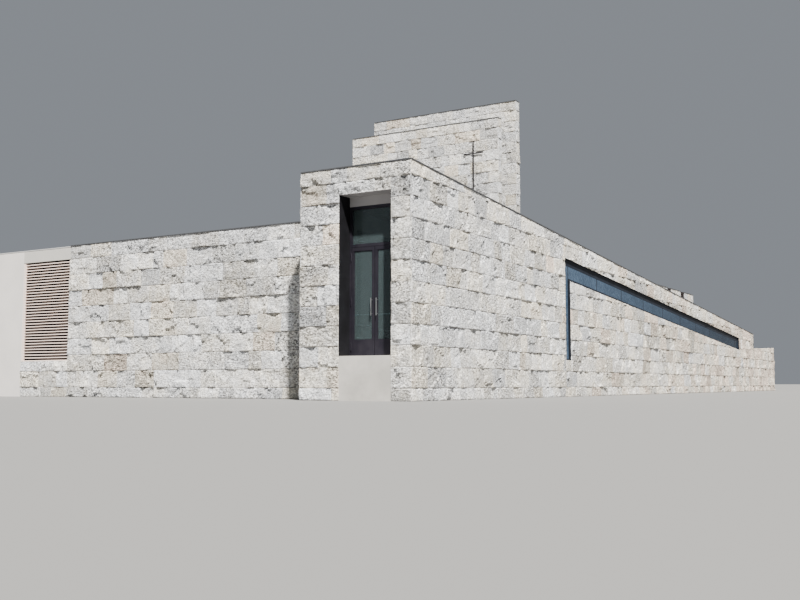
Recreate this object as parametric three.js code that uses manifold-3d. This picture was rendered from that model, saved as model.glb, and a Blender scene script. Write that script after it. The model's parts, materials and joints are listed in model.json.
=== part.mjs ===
// Modern stone chapel: a long wall whose coping falls from the front corner to the rear, a tall
// entrance block, a low wing with a louvred bay, and two stone blades that carry a cross.
//
// Units are millimetres, +Z is up. The model is drawn from the front corner of the long wall:
// x runs along the front (negative to the left), y runs back along the long wall, and z = 0 is
// the lowest ground that the walls reach. The last lines move the origin to the middle of the base.
import * as THREE from "three";
import Module from "manifold-3d";
import { mergeVertices } from "three/addons/utils/BufferGeometryUtils.js";

const wasm = await Module();
wasm.setup();

// Driving dimensions
const GAP = 0.3;                 // joint between pieces that touch
const WALL = 400;                // outer wall thickness, stone facing included
const ROOF = 250;                // roof deck thickness
const PARAPET = 250;             // from the roof deck up to the underside of a coping
const COPING = 30;               // thickness of the slate coping
const OVERHANG = 25;             // coping past each face of its wall

const WEST_X = -15600;           // outer face of the hidden long side
const PORTAL_X = -2806;          // left face of the entrance block
const WING_Y = 1240;             // the wing stands back from the entrance block
const NAVE_Y = 8580;             // the nave roof starts here, behind the wing
const REAR_Y = 34200;            // outer face of the rear wall
const LOW_END_Y = 39575;         // the low wall runs on to here

const FLOOR_Z = 950;             // entrance floor above the lowest ground
const REAR_FLOOR_Z = 300;        // the nave floor follows the ground down
const CORNER_TOP = 5050;         // top of the coping at the front corner
const FALL = 0.0636;             // fall of the coping for each millimetre to the rear
const WING_TOP = 4212;           // top of the wing's level coping
const LOW_END_FRONT = 2114;      // top of the low wall where it leaves the long wall
const LOW_END_REAR = 2306;       // top of the low wall at its far end

const DOORWAY_LEFT = -1790;      // stone reveals of the entrance recess
const DOORWAY_RIGHT = -483;
const DOORWAY_HEAD = 4439;
const PIER_DEPTH = 550;          // the entrance piers are thicker than the other walls
const DOOR_SETBACK = 400;        // from the front of the block to the face of the doors

const LOUVRE_LEFT = -13670;
const LOUVRE_RIGHT = -11710;
const LOUVRE_SILL = 1000;
const LOUVRE_HEAD = 3826;
const SLAT_PITCH = 81;
const SLAT_HEIGHT = 44;

const BLADE_LEFT = -13240;       // the two tower blades have the same width
const BLADE_RIGHT = -6310;
const BLADE = 300;
const FRONT_BLADE = { y: 17720, top: 11020 };
const REAR_BLADE = { y: 19470, top: 12150 };

// Height of the sloping coping's top at a distance back from the front corner
const eave = (y) => CORNER_TOP - FALL * y;
const wallTop = (y) => eave(y) - COPING;
const deckTop = (y) => wallTop(y) - PARAPET;

// Finishes
const FINISHES = {
  limestone: { color: 0xd6cfc0, roughness: 0.9, metalness: 0 },
  slate: { color: 0x3a3d40, roughness: 0.55, metalness: 0 },
  floor: { color: 0xa9a59c, roughness: 0.8, metalness: 0 },
  roofing: { color: 0xa3a19b, roughness: 0.95, metalness: 0 },
  louvre: { color: 0xc9b59f, roughness: 0.6, metalness: 0.1 },
  render: { color: 0xc9c1ae, roughness: 0.85, metalness: 0 },
  dark_panel: { color: 0x2a2522, roughness: 0.8, metalness: 0 },
  door_metal: { color: 0x2b2a31, roughness: 0.4, metalness: 0.6 },
  head_panel: { color: 0x8d8a8c, roughness: 0.5, metalness: 0.2 },
  steel: { color: 0xb8bcc0, roughness: 0.3, metalness: 0.9 },
  glass: { color: 0x4d6276, roughness: 0.08, metalness: 0 },
  slot_glass: { color: 0x3b4c60, roughness: 0.12, metalness: 0 },
  cross_metal: { color: 0x4a4a4c, roughness: 0.5, metalness: 0.6 },
};

const chapel = new THREE.Group();

function place(name, finish, geometry) {
  const mesh = new THREE.Mesh(geometry, new THREE.MeshStandardMaterial(FINISHES[finish]));
  mesh.name = name;
  chapel.add(mesh);
}

// Solids

function boxGeometry([x0, x1], [y0, y1], [z0, z1]) {
  const geometry = new THREE.BoxGeometry(x1 - x0, y1 - y0, z1 - z0);
  geometry.translate((x0 + x1) / 2, (y0 + y1) / 2, (z0 + z1) / 2);
  return geometry;
}

function shapeOf(outline, holes = []) {
  const shape = new THREE.Shape(outline.map(([u, v]) => new THREE.Vector2(u, v)));
  for (const hole of holes) {
    shape.holes.push(new THREE.Path(hole.map(([u, v]) => new THREE.Vector2(u, v))));
  }
  return shape;
}

// An outline of (y, z) points, extruded along x
function alongX(outline, [x0, x1], holes) {
  const shape = shapeOf(outline, holes);
  const geometry = new THREE.ExtrudeGeometry(shape, { depth: x1 - x0, bevelEnabled: false });
  geometry.applyMatrix4(new THREE.Matrix4().set(0, 0, 1, x0, 1, 0, 0, 0, 0, 1, 0, 0, 0, 0, 0, 1));
  return geometry;
}

// An outline of (x, z) points, extruded along y
function alongY(outline, [y0, y1], holes) {
  const shape = shapeOf(outline, holes);
  const geometry = new THREE.ExtrudeGeometry(shape, { depth: y1 - y0, bevelEnabled: false });
  geometry.applyMatrix4(new THREE.Matrix4().set(1, 0, 0, 0, 0, 0, -1, y1, 0, 1, 0, 0, 0, 0, 0, 1));
  return geometry;
}

function rod(radius, length, axis, [x, y, z]) {
  const geometry = new THREE.CylinderGeometry(radius, radius, length, 16);
  if (axis === "z") geometry.rotateX(Math.PI / 2);
  if (axis === "x") geometry.rotateZ(Math.PI / 2);
  geometry.translate(x, y, z);
  return geometry;
}

function toSolid(geometry) {
  const bare = new THREE.BufferGeometry();
  bare.setAttribute("position", geometry.getAttribute("position"));
  if (geometry.index) bare.setIndex(geometry.index);
  const merged = mergeVertices(bare, 1e-4);
  return new wasm.Manifold(new wasm.Mesh({
    numProp: 3,
    vertProperties: new Float32Array(merged.getAttribute("position").array),
    triVerts: new Uint32Array(merged.index.array),
  }));
}

function fuse(geometries) {
  const joined = geometries.map(toSolid).reduce((whole, piece) => whole.add(piece));
  const mesh = joined.getMesh();
  const geometry = new THREE.BufferGeometry();
  geometry.setAttribute("position", new THREE.BufferAttribute(mesh.vertProperties, 3));
  geometry.setIndex(new THREE.BufferAttribute(mesh.triVerts, 1));
  geometry.computeVertexNormals();
  return geometry;
}

// Slot window: an upright leg and a long band that falls towards the rear, cut through a long wall
const SLOT = {
  front: 8600,
  legRear: 8970,
  rear: 30900,
  sill: 1020,
  topFront: 3905,
  topRear: 2532,
  bottomFront: 3272,
  bottomRear: 1965,
};
const SLOT_RECESS = 55;          // from the wall face to the glass
const SLOT_GLASS = 12;
const SLOT_FRAME_DEPTH = 90;     // the frame carries the glass from behind
const SLOT_FRAME_WIDTH = 45;
const MULLION = 30;
const FIRST_MULLION = 11350;
const MULLION_PITCH = 2360;
const MULLION_COUNT = 9;

const slotTop = (y) => (
  SLOT.topFront + (SLOT.topRear - SLOT.topFront) * (y - SLOT.front) / (SLOT.rear - SLOT.front)
);
const slotBottom = (y) => (
  SLOT.bottomFront + (SLOT.bottomRear - SLOT.bottomFront) * (y - SLOT.legRear) / (SLOT.rear - SLOT.legRear)
);

function slotOutline(inset) {
  return [
    [SLOT.front + inset, SLOT.sill + inset],
    [SLOT.legRear - inset, SLOT.sill + inset],
    [SLOT.legRear - inset, slotBottom(SLOT.legRear - inset) + inset],
    [SLOT.rear - inset, slotBottom(SLOT.rear - inset) + inset],
    [SLOT.rear - inset, slotTop(SLOT.rear - inset) - inset],
    [SLOT.front + inset, slotTop(SLOT.front + inset) - inset],
  ];
}

function slotBays() {
  const bays = [];
  const edge = SLOT_FRAME_WIDTH;
  bays.push([
    [SLOT.front + edge, SLOT.sill + edge],
    [SLOT.legRear - edge, SLOT.sill + edge],
    [SLOT.legRear - edge, slotTop(SLOT.legRear - edge) - edge],
    [SLOT.front + edge, slotTop(SLOT.front + edge) - edge],
  ]);
  const posts = [SLOT.legRear];
  for (let i = 0; i < MULLION_COUNT; i += 1) posts.push(FIRST_MULLION + i * MULLION_PITCH);
  posts.push(SLOT.rear);
  for (let i = 0; i + 1 < posts.length; i += 1) {
    const y0 = posts[i] + MULLION / 2;
    const last = i + 2 === posts.length;
    const y1 = posts[i + 1] - (last ? edge : MULLION / 2);
    bays.push([
      [y0, slotBottom(y0) + edge],
      [y1, slotBottom(y1) + edge],
      [y1, slotTop(y1) - edge],
      [y0, slotTop(y0) - edge],
    ]);
  }
  return bays;
}

// Glass, then frame, sit behind the outer face: towards = -1 when the face looks along +x, 1 when along -x
function slotWindow(side, face, towards) {
  const at = (depth) => face + towards * depth;
  const span = (near, far) => [Math.min(at(near), at(far)), Math.max(at(near), at(far))];
  const outline = slotOutline(GAP);
  const glassBack = SLOT_RECESS + SLOT_GLASS;
  const frame = span(glassBack + GAP, glassBack + GAP + SLOT_FRAME_DEPTH);
  place(`${side}_slot_glass`, "slot_glass", alongX(outline, span(SLOT_RECESS, glassBack)));
  place(`${side}_slot_frame`, "door_metal", alongX(outline, frame, slotBays()));
}

// Long walls

place("long_wall", "limestone", alongX([
  [PIER_DEPTH + GAP, 0],
  [REAR_Y, 0],
  [REAR_Y, wallTop(REAR_Y)],
  [PIER_DEPTH + GAP, wallTop(PIER_DEPTH)],
], [-WALL, 0], [slotOutline(0)]));

place("low_end_wall", "limestone", alongX([
  [REAR_Y + GAP, 0],
  [LOW_END_Y, 0],
  [LOW_END_Y, LOW_END_REAR],
  [REAR_Y + GAP, LOW_END_FRONT],
], [-WALL, 0]));

const WING_WALL_TOP = WING_TOP - COPING;
place("west_wall", "limestone", alongX([
  [WING_Y, 0],
  [REAR_Y, 0],
  [REAR_Y, wallTop(REAR_Y)],
  [NAVE_Y, wallTop(NAVE_Y)],
  [NAVE_Y, WING_WALL_TOP],
  [WING_Y, WING_WALL_TOP],
], [WEST_X, WEST_X + WALL], [slotOutline(0)]));

place("rear_wall", "limestone", alongX([
  [REAR_Y - WALL, 0],
  [REAR_Y, 0],
  [REAR_Y, wallTop(REAR_Y)],
  [REAR_Y - WALL, wallTop(REAR_Y - WALL)],
], [WEST_X + WALL + GAP, -WALL - GAP]));

slotWindow("long_wall", 0, -1);
slotWindow("west_wall", WEST_X, 1);

// Entrance block

place("portal_left_pier", "limestone", boxGeometry(
  [PORTAL_X, DOORWAY_LEFT], [0, PIER_DEPTH], [0, DOORWAY_HEAD - GAP],
));
place("portal_right_pier", "limestone", boxGeometry(
  [DOORWAY_RIGHT, 0], [0, PIER_DEPTH], [0, DOORWAY_HEAD - GAP],
));
place("portal_lintel", "limestone", alongX([
  [0, DOORWAY_HEAD],
  [PIER_DEPTH, DOORWAY_HEAD],
  [PIER_DEPTH, wallTop(PIER_DEPTH)],
  [0, wallTop(0)],
], [PORTAL_X, 0]));

const WING_BACK = WING_Y + WALL;
place("portal_side_wall", "limestone", alongX([
  [PIER_DEPTH + GAP, 0],
  [WING_BACK, 0],
  [WING_BACK, wallTop(WING_BACK)],
  [PIER_DEPTH + GAP, wallTop(PIER_DEPTH + GAP)],
], [PORTAL_X, PORTAL_X + WALL]));

// Wing, with the louvred bay and the rendered end bay

place("wing_wall", "limestone", boxGeometry(
  [LOUVRE_RIGHT, PORTAL_X - GAP], [WING_Y, WING_BACK], [0, WING_WALL_TOP],
));
place("louvre_sill_wall", "limestone", boxGeometry(
  [LOUVRE_LEFT + GAP, LOUVRE_RIGHT - GAP], [WING_Y, WING_BACK], [0, LOUVRE_SILL],
));
place("louvre_fascia", "render", boxGeometry(
  [LOUVRE_LEFT + GAP, LOUVRE_RIGHT - GAP], [WING_Y, WING_BACK], [LOUVRE_HEAD, WING_WALL_TOP],
));
place("end_bay_wall", "render", boxGeometry(
  [WEST_X + WALL + GAP, LOUVRE_LEFT], [WING_Y, WING_BACK], [0, WING_WALL_TOP],
));

const LOUVRE_POST = 70;
const LOUVRE_FRONT = WING_Y + 10;
const LOUVRE_DEPTH = 60;
const SLAT_DROP = 12;            // the outer edge of a slat is lower than its inner edge
function louvrePanel() {
  const left = LOUVRE_LEFT + 2 * GAP;
  const right = LOUVRE_RIGHT - 2 * GAP;
  const heights = [LOUVRE_SILL + GAP, LOUVRE_HEAD - GAP];
  const pieces = [
    boxGeometry([left, left + LOUVRE_POST], [LOUVRE_FRONT, LOUVRE_FRONT + LOUVRE_DEPTH], heights),
    boxGeometry([right - LOUVRE_POST / 2, right], [LOUVRE_FRONT, LOUVRE_FRONT + LOUVRE_DEPTH], heights),
  ];
  const front = LOUVRE_FRONT + 4;
  const back = LOUVRE_FRONT + LOUVRE_DEPTH - 12;
  const count = Math.floor((heights[1] - heights[0]) / SLAT_PITCH);
  for (let i = 0; i < count; i += 1) {
    const top = heights[1] - SLAT_PITCH * i - 25;
    pieces.push(alongX([
      [front, top - SLAT_HEIGHT - SLAT_DROP],
      [back, top - SLAT_HEIGHT],
      [back, top],
      [front, top - SLAT_DROP],
    ], [left + LOUVRE_POST / 2, right - LOUVRE_POST / 4]));
  }
  return fuse(pieces);
}
place("louvre_panel", "louvre", louvrePanel());
place("louvre_backing", "dark_panel", boxGeometry(
  [LOUVRE_LEFT + GAP, LOUVRE_RIGHT - GAP],
  [LOUVRE_FRONT + LOUVRE_DEPTH + GAP, LOUVRE_FRONT + LOUVRE_DEPTH + 20],
  [LOUVRE_SILL + GAP, LOUVRE_HEAD - GAP],
));

// Floors

place("doorstep", "floor", boxGeometry(
  [DOORWAY_LEFT + GAP, DOORWAY_RIGHT - GAP], [0, PIER_DEPTH], [0, FLOOR_Z],
));
place("hall_floor", "floor", boxGeometry(
  [PORTAL_X + WALL + GAP, -WALL - GAP], [PIER_DEPTH + GAP, WING_BACK], [0, FLOOR_Z],
));
place("nave_floor", "floor", alongX([
  [WING_BACK + GAP, 0],
  [REAR_Y - WALL - GAP, 0],
  [REAR_Y - WALL - GAP, REAR_FLOOR_Z],
  [NAVE_Y + WALL, FLOOR_Z],
  [WING_BACK + GAP, FLOOR_Z],
], [WEST_X + WALL + GAP, -WALL - GAP]));

// Roofs and the low walls that stand on the wing roof

const WING_DECK = WING_WALL_TOP - PARAPET;
const UPSTAND_BACK = NAVE_Y + WALL;
place("wing_roof", "roofing", boxGeometry(
  [WEST_X + WALL + GAP, PORTAL_X + WALL], [WING_BACK + GAP, UPSTAND_BACK], [WING_DECK - ROOF, WING_DECK],
));

function slopingDeck(y0, y1) {
  return [
    [y0, deckTop(y0) - ROOF],
    [y1, deckTop(y1) - ROOF],
    [y1, deckTop(y1)],
    [y0, deckTop(y0)],
  ];
}
place("hall_roof", "roofing", alongX(
  slopingDeck(PIER_DEPTH + GAP, UPSTAND_BACK), [PORTAL_X + WALL + GAP, -WALL - GAP],
));
place("nave_roof", "roofing", alongX(
  slopingDeck(UPSTAND_BACK + GAP, REAR_Y - WALL - GAP), [WEST_X + WALL + GAP, -WALL - GAP],
));

function upstand(y0, y1) {
  return [
    [y0, WING_DECK + GAP],
    [y1, WING_DECK + GAP],
    [y1, wallTop(y1)],
    [y0, wallTop(y0)],
  ];
}
place("hall_upstand", "limestone", alongX(
  upstand(WING_BACK + GAP, UPSTAND_BACK), [PORTAL_X, PORTAL_X + WALL],
));
place("nave_upstand", "limestone", alongX(
  upstand(NAVE_Y, UPSTAND_BACK), [WEST_X + WALL + GAP, PORTAL_X - GAP],
));

// Stone blocks in a row on the nave roof

const ROOF_BLOCK = { right: -2060, width: 1200, length: 1740, pitch: 2200, rear: 30710, top: 4675 };
for (let i = 0; i < 3; i += 1) {
  const y1 = ROOF_BLOCK.rear - ROOF_BLOCK.pitch * (2 - i);
  const y0 = y1 - ROOF_BLOCK.length;
  place(`roof_block_${i + 1}`, "limestone", alongX([
    [y0, deckTop(y0) + GAP],
    [y1, deckTop(y1) + GAP],
    [y1, ROOF_BLOCK.top],
    [y0, ROOF_BLOCK.top],
  ], [ROOF_BLOCK.right - ROOF_BLOCK.width, ROOF_BLOCK.right]));
}

// A dark panel closes the space between two blocks, lower than their tops and back from their faces
const BLOCK_LINK = { inset: 20, drop: 40 };
for (let i = 0; i < 2; i += 1) {
  const y0 = ROOF_BLOCK.rear - ROOF_BLOCK.pitch * (2 - i) + GAP;
  const y1 = y0 + ROOF_BLOCK.pitch - ROOF_BLOCK.length - 2 * GAP;
  place(`roof_block_link_${i + 1}`, "dark_panel", alongX([
    [y0, deckTop(y0) + GAP],
    [y1, deckTop(y1) + GAP],
    [y1, ROOF_BLOCK.top - BLOCK_LINK.drop],
    [y0, ROOF_BLOCK.top - BLOCK_LINK.drop],
  ], [ROOF_BLOCK.right - ROOF_BLOCK.width + BLOCK_LINK.inset, ROOF_BLOCK.right - BLOCK_LINK.inset]));
}

// Tower blades and the cross

for (const [name, blade] of [["tower_front_blade", FRONT_BLADE], ["tower_rear_blade", REAR_BLADE]]) {
  const back = blade.y + BLADE;
  place(name, "limestone", alongX([
    [blade.y, deckTop(blade.y) + GAP],
    [back, deckTop(back) + GAP],
    [back, blade.top - COPING],
    [blade.y, blade.top - COPING],
  ], [BLADE_LEFT, BLADE_RIGHT]));
  place(`${name}_coping`, "slate", boxGeometry(
    [BLADE_LEFT - OVERHANG, BLADE_RIGHT + OVERHANG],
    [blade.y - OVERHANG, back + OVERHANG],
    [blade.top - COPING + GAP, blade.top],
  ));
}

const CROSS = { x: -7380, foot: 7480, top: 10120, arm: 9645, span: 870, bar: 50, depth: 25, standOff: 45 };
function crossGeometry() {
  const half = CROSS.bar / 2;
  const reach = CROSS.span / 2;
  const back = FRONT_BLADE.y - CROSS.standOff;
  const depth = [back - CROSS.depth, back];
  const pegLength = CROSS.standOff + half - GAP;
  const pegs = [CROSS.foot + 300, CROSS.arm, CROSS.top - 120].map((z) => (
    rod(15, pegLength, "y", [CROSS.x, FRONT_BLADE.y - GAP - pegLength / 2, z])
  ));
  return fuse([
    boxGeometry([CROSS.x - half, CROSS.x + half], depth, [CROSS.foot, CROSS.top]),
    boxGeometry([CROSS.x - reach, CROSS.x + reach], depth, [CROSS.arm - half, CROSS.arm + half]),
    ...pegs,
  ]);
}
place("cross", "cross_metal", crossGeometry());

// Copings. The sloping ones fall with the wall below them.

function slopingCoping(y0, y1) {
  return [
    [y0, wallTop(y0) + GAP],
    [y1, wallTop(y1) + GAP],
    [y1, eave(y1)],
    [y0, eave(y0)],
  ];
}
const INNER = WALL + OVERHANG;
const FRONT_COPING_BACK = PIER_DEPTH + OVERHANG;
const REAR_COPING_BACK = REAR_Y + OVERHANG;
const UPSTAND_COPING_BACK = UPSTAND_BACK + OVERHANG;
place("portal_coping", "slate", alongX(
  slopingCoping(-OVERHANG, FRONT_COPING_BACK), [PORTAL_X - OVERHANG, OVERHANG],
));
place("long_wall_coping", "slate", alongX(
  slopingCoping(FRONT_COPING_BACK + GAP, REAR_COPING_BACK), [-INNER, OVERHANG],
));
place("hall_left_coping", "slate", alongX(
  slopingCoping(FRONT_COPING_BACK + GAP, UPSTAND_COPING_BACK), [PORTAL_X - OVERHANG, PORTAL_X + INNER],
));
place("nave_upstand_coping", "slate", alongX(
  slopingCoping(NAVE_Y - OVERHANG, UPSTAND_COPING_BACK), [WEST_X + INNER + GAP, PORTAL_X - OVERHANG - GAP],
));
place("west_nave_coping", "slate", alongX(
  slopingCoping(NAVE_Y - OVERHANG, REAR_COPING_BACK), [WEST_X - OVERHANG, WEST_X + INNER],
));
place("rear_coping", "slate", alongX(
  slopingCoping(REAR_Y - INNER, REAR_COPING_BACK), [WEST_X + INNER + GAP, -INNER - GAP],
));

const LEVEL_COPING = [WING_WALL_TOP + GAP, WING_TOP];
place("wing_coping", "slate", boxGeometry(
  [LOUVRE_RIGHT, PORTAL_X - OVERHANG - GAP], [WING_Y - OVERHANG, WING_BACK + OVERHANG], LEVEL_COPING,
));
place("west_wing_coping", "slate", boxGeometry(
  [WEST_X - OVERHANG, WEST_X + INNER], [WING_Y - OVERHANG, NAVE_Y - GAP], LEVEL_COPING,
));

// Entrance: a metal frame, a pair of glazed leaves that open outwards, and a transom light

const FRAME = { jamb: 50, head: 60, depth: 110, top: 4228 };
const TRANSOM = { bottom: 3330, top: 3390 };
const THRESHOLD = 12;
const frameLeft = DOORWAY_LEFT + GAP;
const frameRight = DOORWAY_RIGHT - GAP;
const openLeft = frameLeft + FRAME.jamb;
const openRight = frameRight - FRAME.jamb;
const frameSpan = [DOOR_SETBACK, DOOR_SETBACK + FRAME.depth];

const LEAF = {
  thickness: 45,
  side: 6,
  meeting: 12,
  over: 6,
  under: 8,
  stile: 60,
  topRail: 80,
  bottomRail: 333,
};
const leafWidth = (openRight - openLeft - 2 * LEAF.side - LEAF.meeting) / 2;
const leafBottom = FLOOR_Z + GAP + THRESHOLD + LEAF.under;
const leafTop = TRANSOM.bottom - LEAF.over;

const HINGE = { radius: 11, forward: 13, aside: 3, knuckle: 60, web: 14 };
const hingeHeights = [leafBottom + 200, (leafBottom + leafTop) / 2, leafTop - 200];
const axisY = DOOR_SETBACK - HINGE.forward;
const leftAxisX = openLeft + HINGE.aside;
const rightAxisX = openRight - HINGE.aside;

// One knuckle: a barrel on the hinge axis, joined by a web to the frame or to the leaf behind it.
// side is 1 when the web lies to the right of the axis and -1 when it lies to the left.
function knuckle(axisX, z0, z1, side, edge) {
  const x0 = edge;
  const x1 = edge + side * HINGE.web;
  return [
    rod(HINGE.radius, z1 - z0, "z", [axisX, axisY, (z0 + z1) / 2]),
    boxGeometry([Math.min(axisX, x0, x1), Math.max(axisX, x0, x1)], [axisY - 4, axisY + 4], [z0, z1]),
    boxGeometry([Math.min(x0, x1), Math.max(x0, x1)], [axisY - 4, DOOR_SETBACK + 1], [z0, z1]),
  ];
}

function frameGeometry() {
  const outline = [
    [frameLeft, FLOOR_Z + GAP],
    [openLeft, FLOOR_Z + GAP],
    [openLeft, TRANSOM.bottom],
    [openRight, TRANSOM.bottom],
    [openRight, FLOOR_Z + GAP],
    [frameRight, FLOOR_Z + GAP],
    [frameRight, FRAME.top],
    [frameLeft, FRAME.top],
  ];
  const light = [
    [openLeft, TRANSOM.top],
    [openRight, TRANSOM.top],
    [openRight, FRAME.top - FRAME.head],
    [openLeft, FRAME.top - FRAME.head],
  ];
  const pieces = [alongY(outline, frameSpan, [light])];
  const half = HINGE.knuckle / 2;
  for (const z of hingeHeights) {
    for (const [low, high] of [[z - 3 * half, z - half], [z + half, z + 3 * half]]) {
      pieces.push(...knuckle(leftAxisX, low, high, -1, openLeft));
      pieces.push(...knuckle(rightAxisX, low, high, 1, openRight));
    }
  }
  return fuse(pieces);
}
place("door_frame", "door_metal", frameGeometry());
place("head_panel", "head_panel", boxGeometry(
  [frameLeft, frameRight], frameSpan, [FRAME.top + GAP, DOORWAY_HEAD - GAP],
));
place("transom_glass", "glass", boxGeometry(
  [openLeft + GAP, openRight - GAP],
  [DOOR_SETBACK + 40, DOOR_SETBACK + 52],
  [TRANSOM.top + GAP, FRAME.top - FRAME.head - GAP],
));
place("threshold", "steel", boxGeometry(
  [openLeft + GAP, openRight - GAP], frameSpan, [FLOOR_Z + GAP, FLOOR_Z + GAP + THRESHOLD],
));

const PULL = { inset: 62, low: 1820, high: 2200, radius: 12, out: 50 };
const PUSH_BAR = { z: 1855, radius: 14, out: 45, inset: 30 };

// side is 1 for the left leaf, hinged at its left edge, and -1 for the right leaf
function doorLeaf(name, side, hingeX, hingeEdge) {
  const edge = hingeEdge + side * LEAF.side;
  const meeting = edge + side * leafWidth;
  const span = [Math.min(edge, meeting), Math.max(edge, meeting)];
  const face = DOOR_SETBACK;
  const back = face + LEAF.thickness;
  const outline = [[span[0], leafBottom], [span[1], leafBottom], [span[1], leafTop], [span[0], leafTop]];
  const paneLow = leafBottom + LEAF.bottomRail;
  const paneHigh = leafTop - LEAF.topRail;
  const pane = [
    [span[0] + LEAF.stile, paneLow],
    [span[1] - LEAF.stile, paneLow],
    [span[1] - LEAF.stile, paneHigh],
    [span[0] + LEAF.stile, paneHigh],
  ];
  const pieces = [alongY(outline, [face, back], [pane])];
  for (const z of hingeHeights) {
    pieces.push(...knuckle(hingeX, z - HINGE.knuckle / 2 + GAP, z + HINGE.knuckle / 2 - GAP, side, edge));
  }
  place(`${name}_leaf`, "door_metal", fuse(pieces));
  place(`${name}_glass`, "glass", boxGeometry(
    [pane[0][0] + GAP, pane[1][0] - GAP], [face + 17, face + 27], [paneLow + GAP, paneHigh - GAP],
  ));

  const pullX = meeting - side * PULL.inset;
  const pullY = face - PULL.out;
  const standOff = PULL.out - GAP;
  place(`${name}_pull`, "steel", fuse([
    rod(PULL.radius, PULL.high - PULL.low, "z", [pullX, pullY, (PULL.low + PULL.high) / 2]),
    ...[PULL.low + 40, PULL.high - 40].map((z) => rod(8, standOff, "y", [pullX, pullY + standOff / 2, z])),
  ]));

  const barY = back + PUSH_BAR.out;
  const barStart = edge + side * PUSH_BAR.inset;
  const barEnd = meeting - side * PUSH_BAR.inset;
  const barReach = PUSH_BAR.out - GAP;
  place(`${name}_push_bar`, "steel", fuse([
    rod(PUSH_BAR.radius, Math.abs(barEnd - barStart), "x", [(barStart + barEnd) / 2, barY, PUSH_BAR.z]),
    ...[barStart + side * 20, barEnd - side * 20].map((x) => (
      rod(9, barReach, "y", [x, back + GAP + barReach / 2, PUSH_BAR.z])
    )),
  ]));
}
doorLeaf("left_door", 1, leftAxisX, openLeft);
doorLeaf("right_door", -1, rightAxisX, openRight);

// Origin: the middle of the base
chapel.position.set(-WEST_X / 2, -(LOW_END_Y - OVERHANG) / 2, 0);

export default chapel;
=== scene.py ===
"""Modern stone chapel: the stones, copings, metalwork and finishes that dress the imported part.

Lengths are metres in the part's own frame: the origin is the middle of the base, +X is the right-hand
side seen from the entrance front, +Y runs to the rear and +Z is up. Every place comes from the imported
part's own boxes, so the pieces sit on the solids that carry them.
"""

import json
import logging
import math
from dataclasses import dataclass, field, replace
from enum import Enum, IntEnum
from typing import Callable, Iterator, Optional, Sequence, Union

import bpy
import numpy as np
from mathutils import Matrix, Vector


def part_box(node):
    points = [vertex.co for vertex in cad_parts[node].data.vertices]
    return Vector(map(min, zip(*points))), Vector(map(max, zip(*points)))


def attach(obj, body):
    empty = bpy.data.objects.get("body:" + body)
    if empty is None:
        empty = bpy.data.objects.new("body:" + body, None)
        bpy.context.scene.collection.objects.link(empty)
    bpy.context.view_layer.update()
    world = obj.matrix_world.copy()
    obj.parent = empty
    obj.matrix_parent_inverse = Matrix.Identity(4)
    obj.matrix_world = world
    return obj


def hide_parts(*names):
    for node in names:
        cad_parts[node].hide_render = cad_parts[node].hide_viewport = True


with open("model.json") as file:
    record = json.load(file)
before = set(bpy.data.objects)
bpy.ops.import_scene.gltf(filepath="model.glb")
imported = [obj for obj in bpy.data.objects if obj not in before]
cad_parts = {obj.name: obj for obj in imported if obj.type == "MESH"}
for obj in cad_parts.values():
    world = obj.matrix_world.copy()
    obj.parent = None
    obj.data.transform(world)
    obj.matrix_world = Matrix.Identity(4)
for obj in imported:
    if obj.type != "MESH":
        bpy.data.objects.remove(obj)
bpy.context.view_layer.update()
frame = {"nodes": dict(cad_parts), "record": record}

LOG = logging.getLogger("chapel")

Socket = bpy.types.NodeSocket
Material = bpy.types.Material
Colour = tuple[float, float, float]
Pair = tuple[float, float]
Band = tuple[float, ...]
Outline = Sequence[Pair]
Feed = Union[Socket, float, int, Sequence[float], None]
Place = Callable[[float, float, float], tuple[float, float, float]]
Heights = Callable[[np.ndarray], np.ndarray]

TOUCH = 0.002            # two points nearer than this count as one height or one distance
STEP = TOUCH / 4         # how far apart the two points of a step in a profile lie
INSIDE = TOUCH / 2       # how far inside a block its ends are read, clear of a step
FEW_PROBES = 5           # at how many places a line is read over one block: roughly,
SOME_PROBES = 9          # in between,
MANY_PROBES = 41         # and closely
BUILDING = "building"

X_AXIS = Vector((1.0, 0.0, 0.0))
Y_AXIS = Vector((0.0, 1.0, 0.0))
Z_AXIS = Vector((0.0, 0.0, 1.0))


# Node trees

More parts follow.
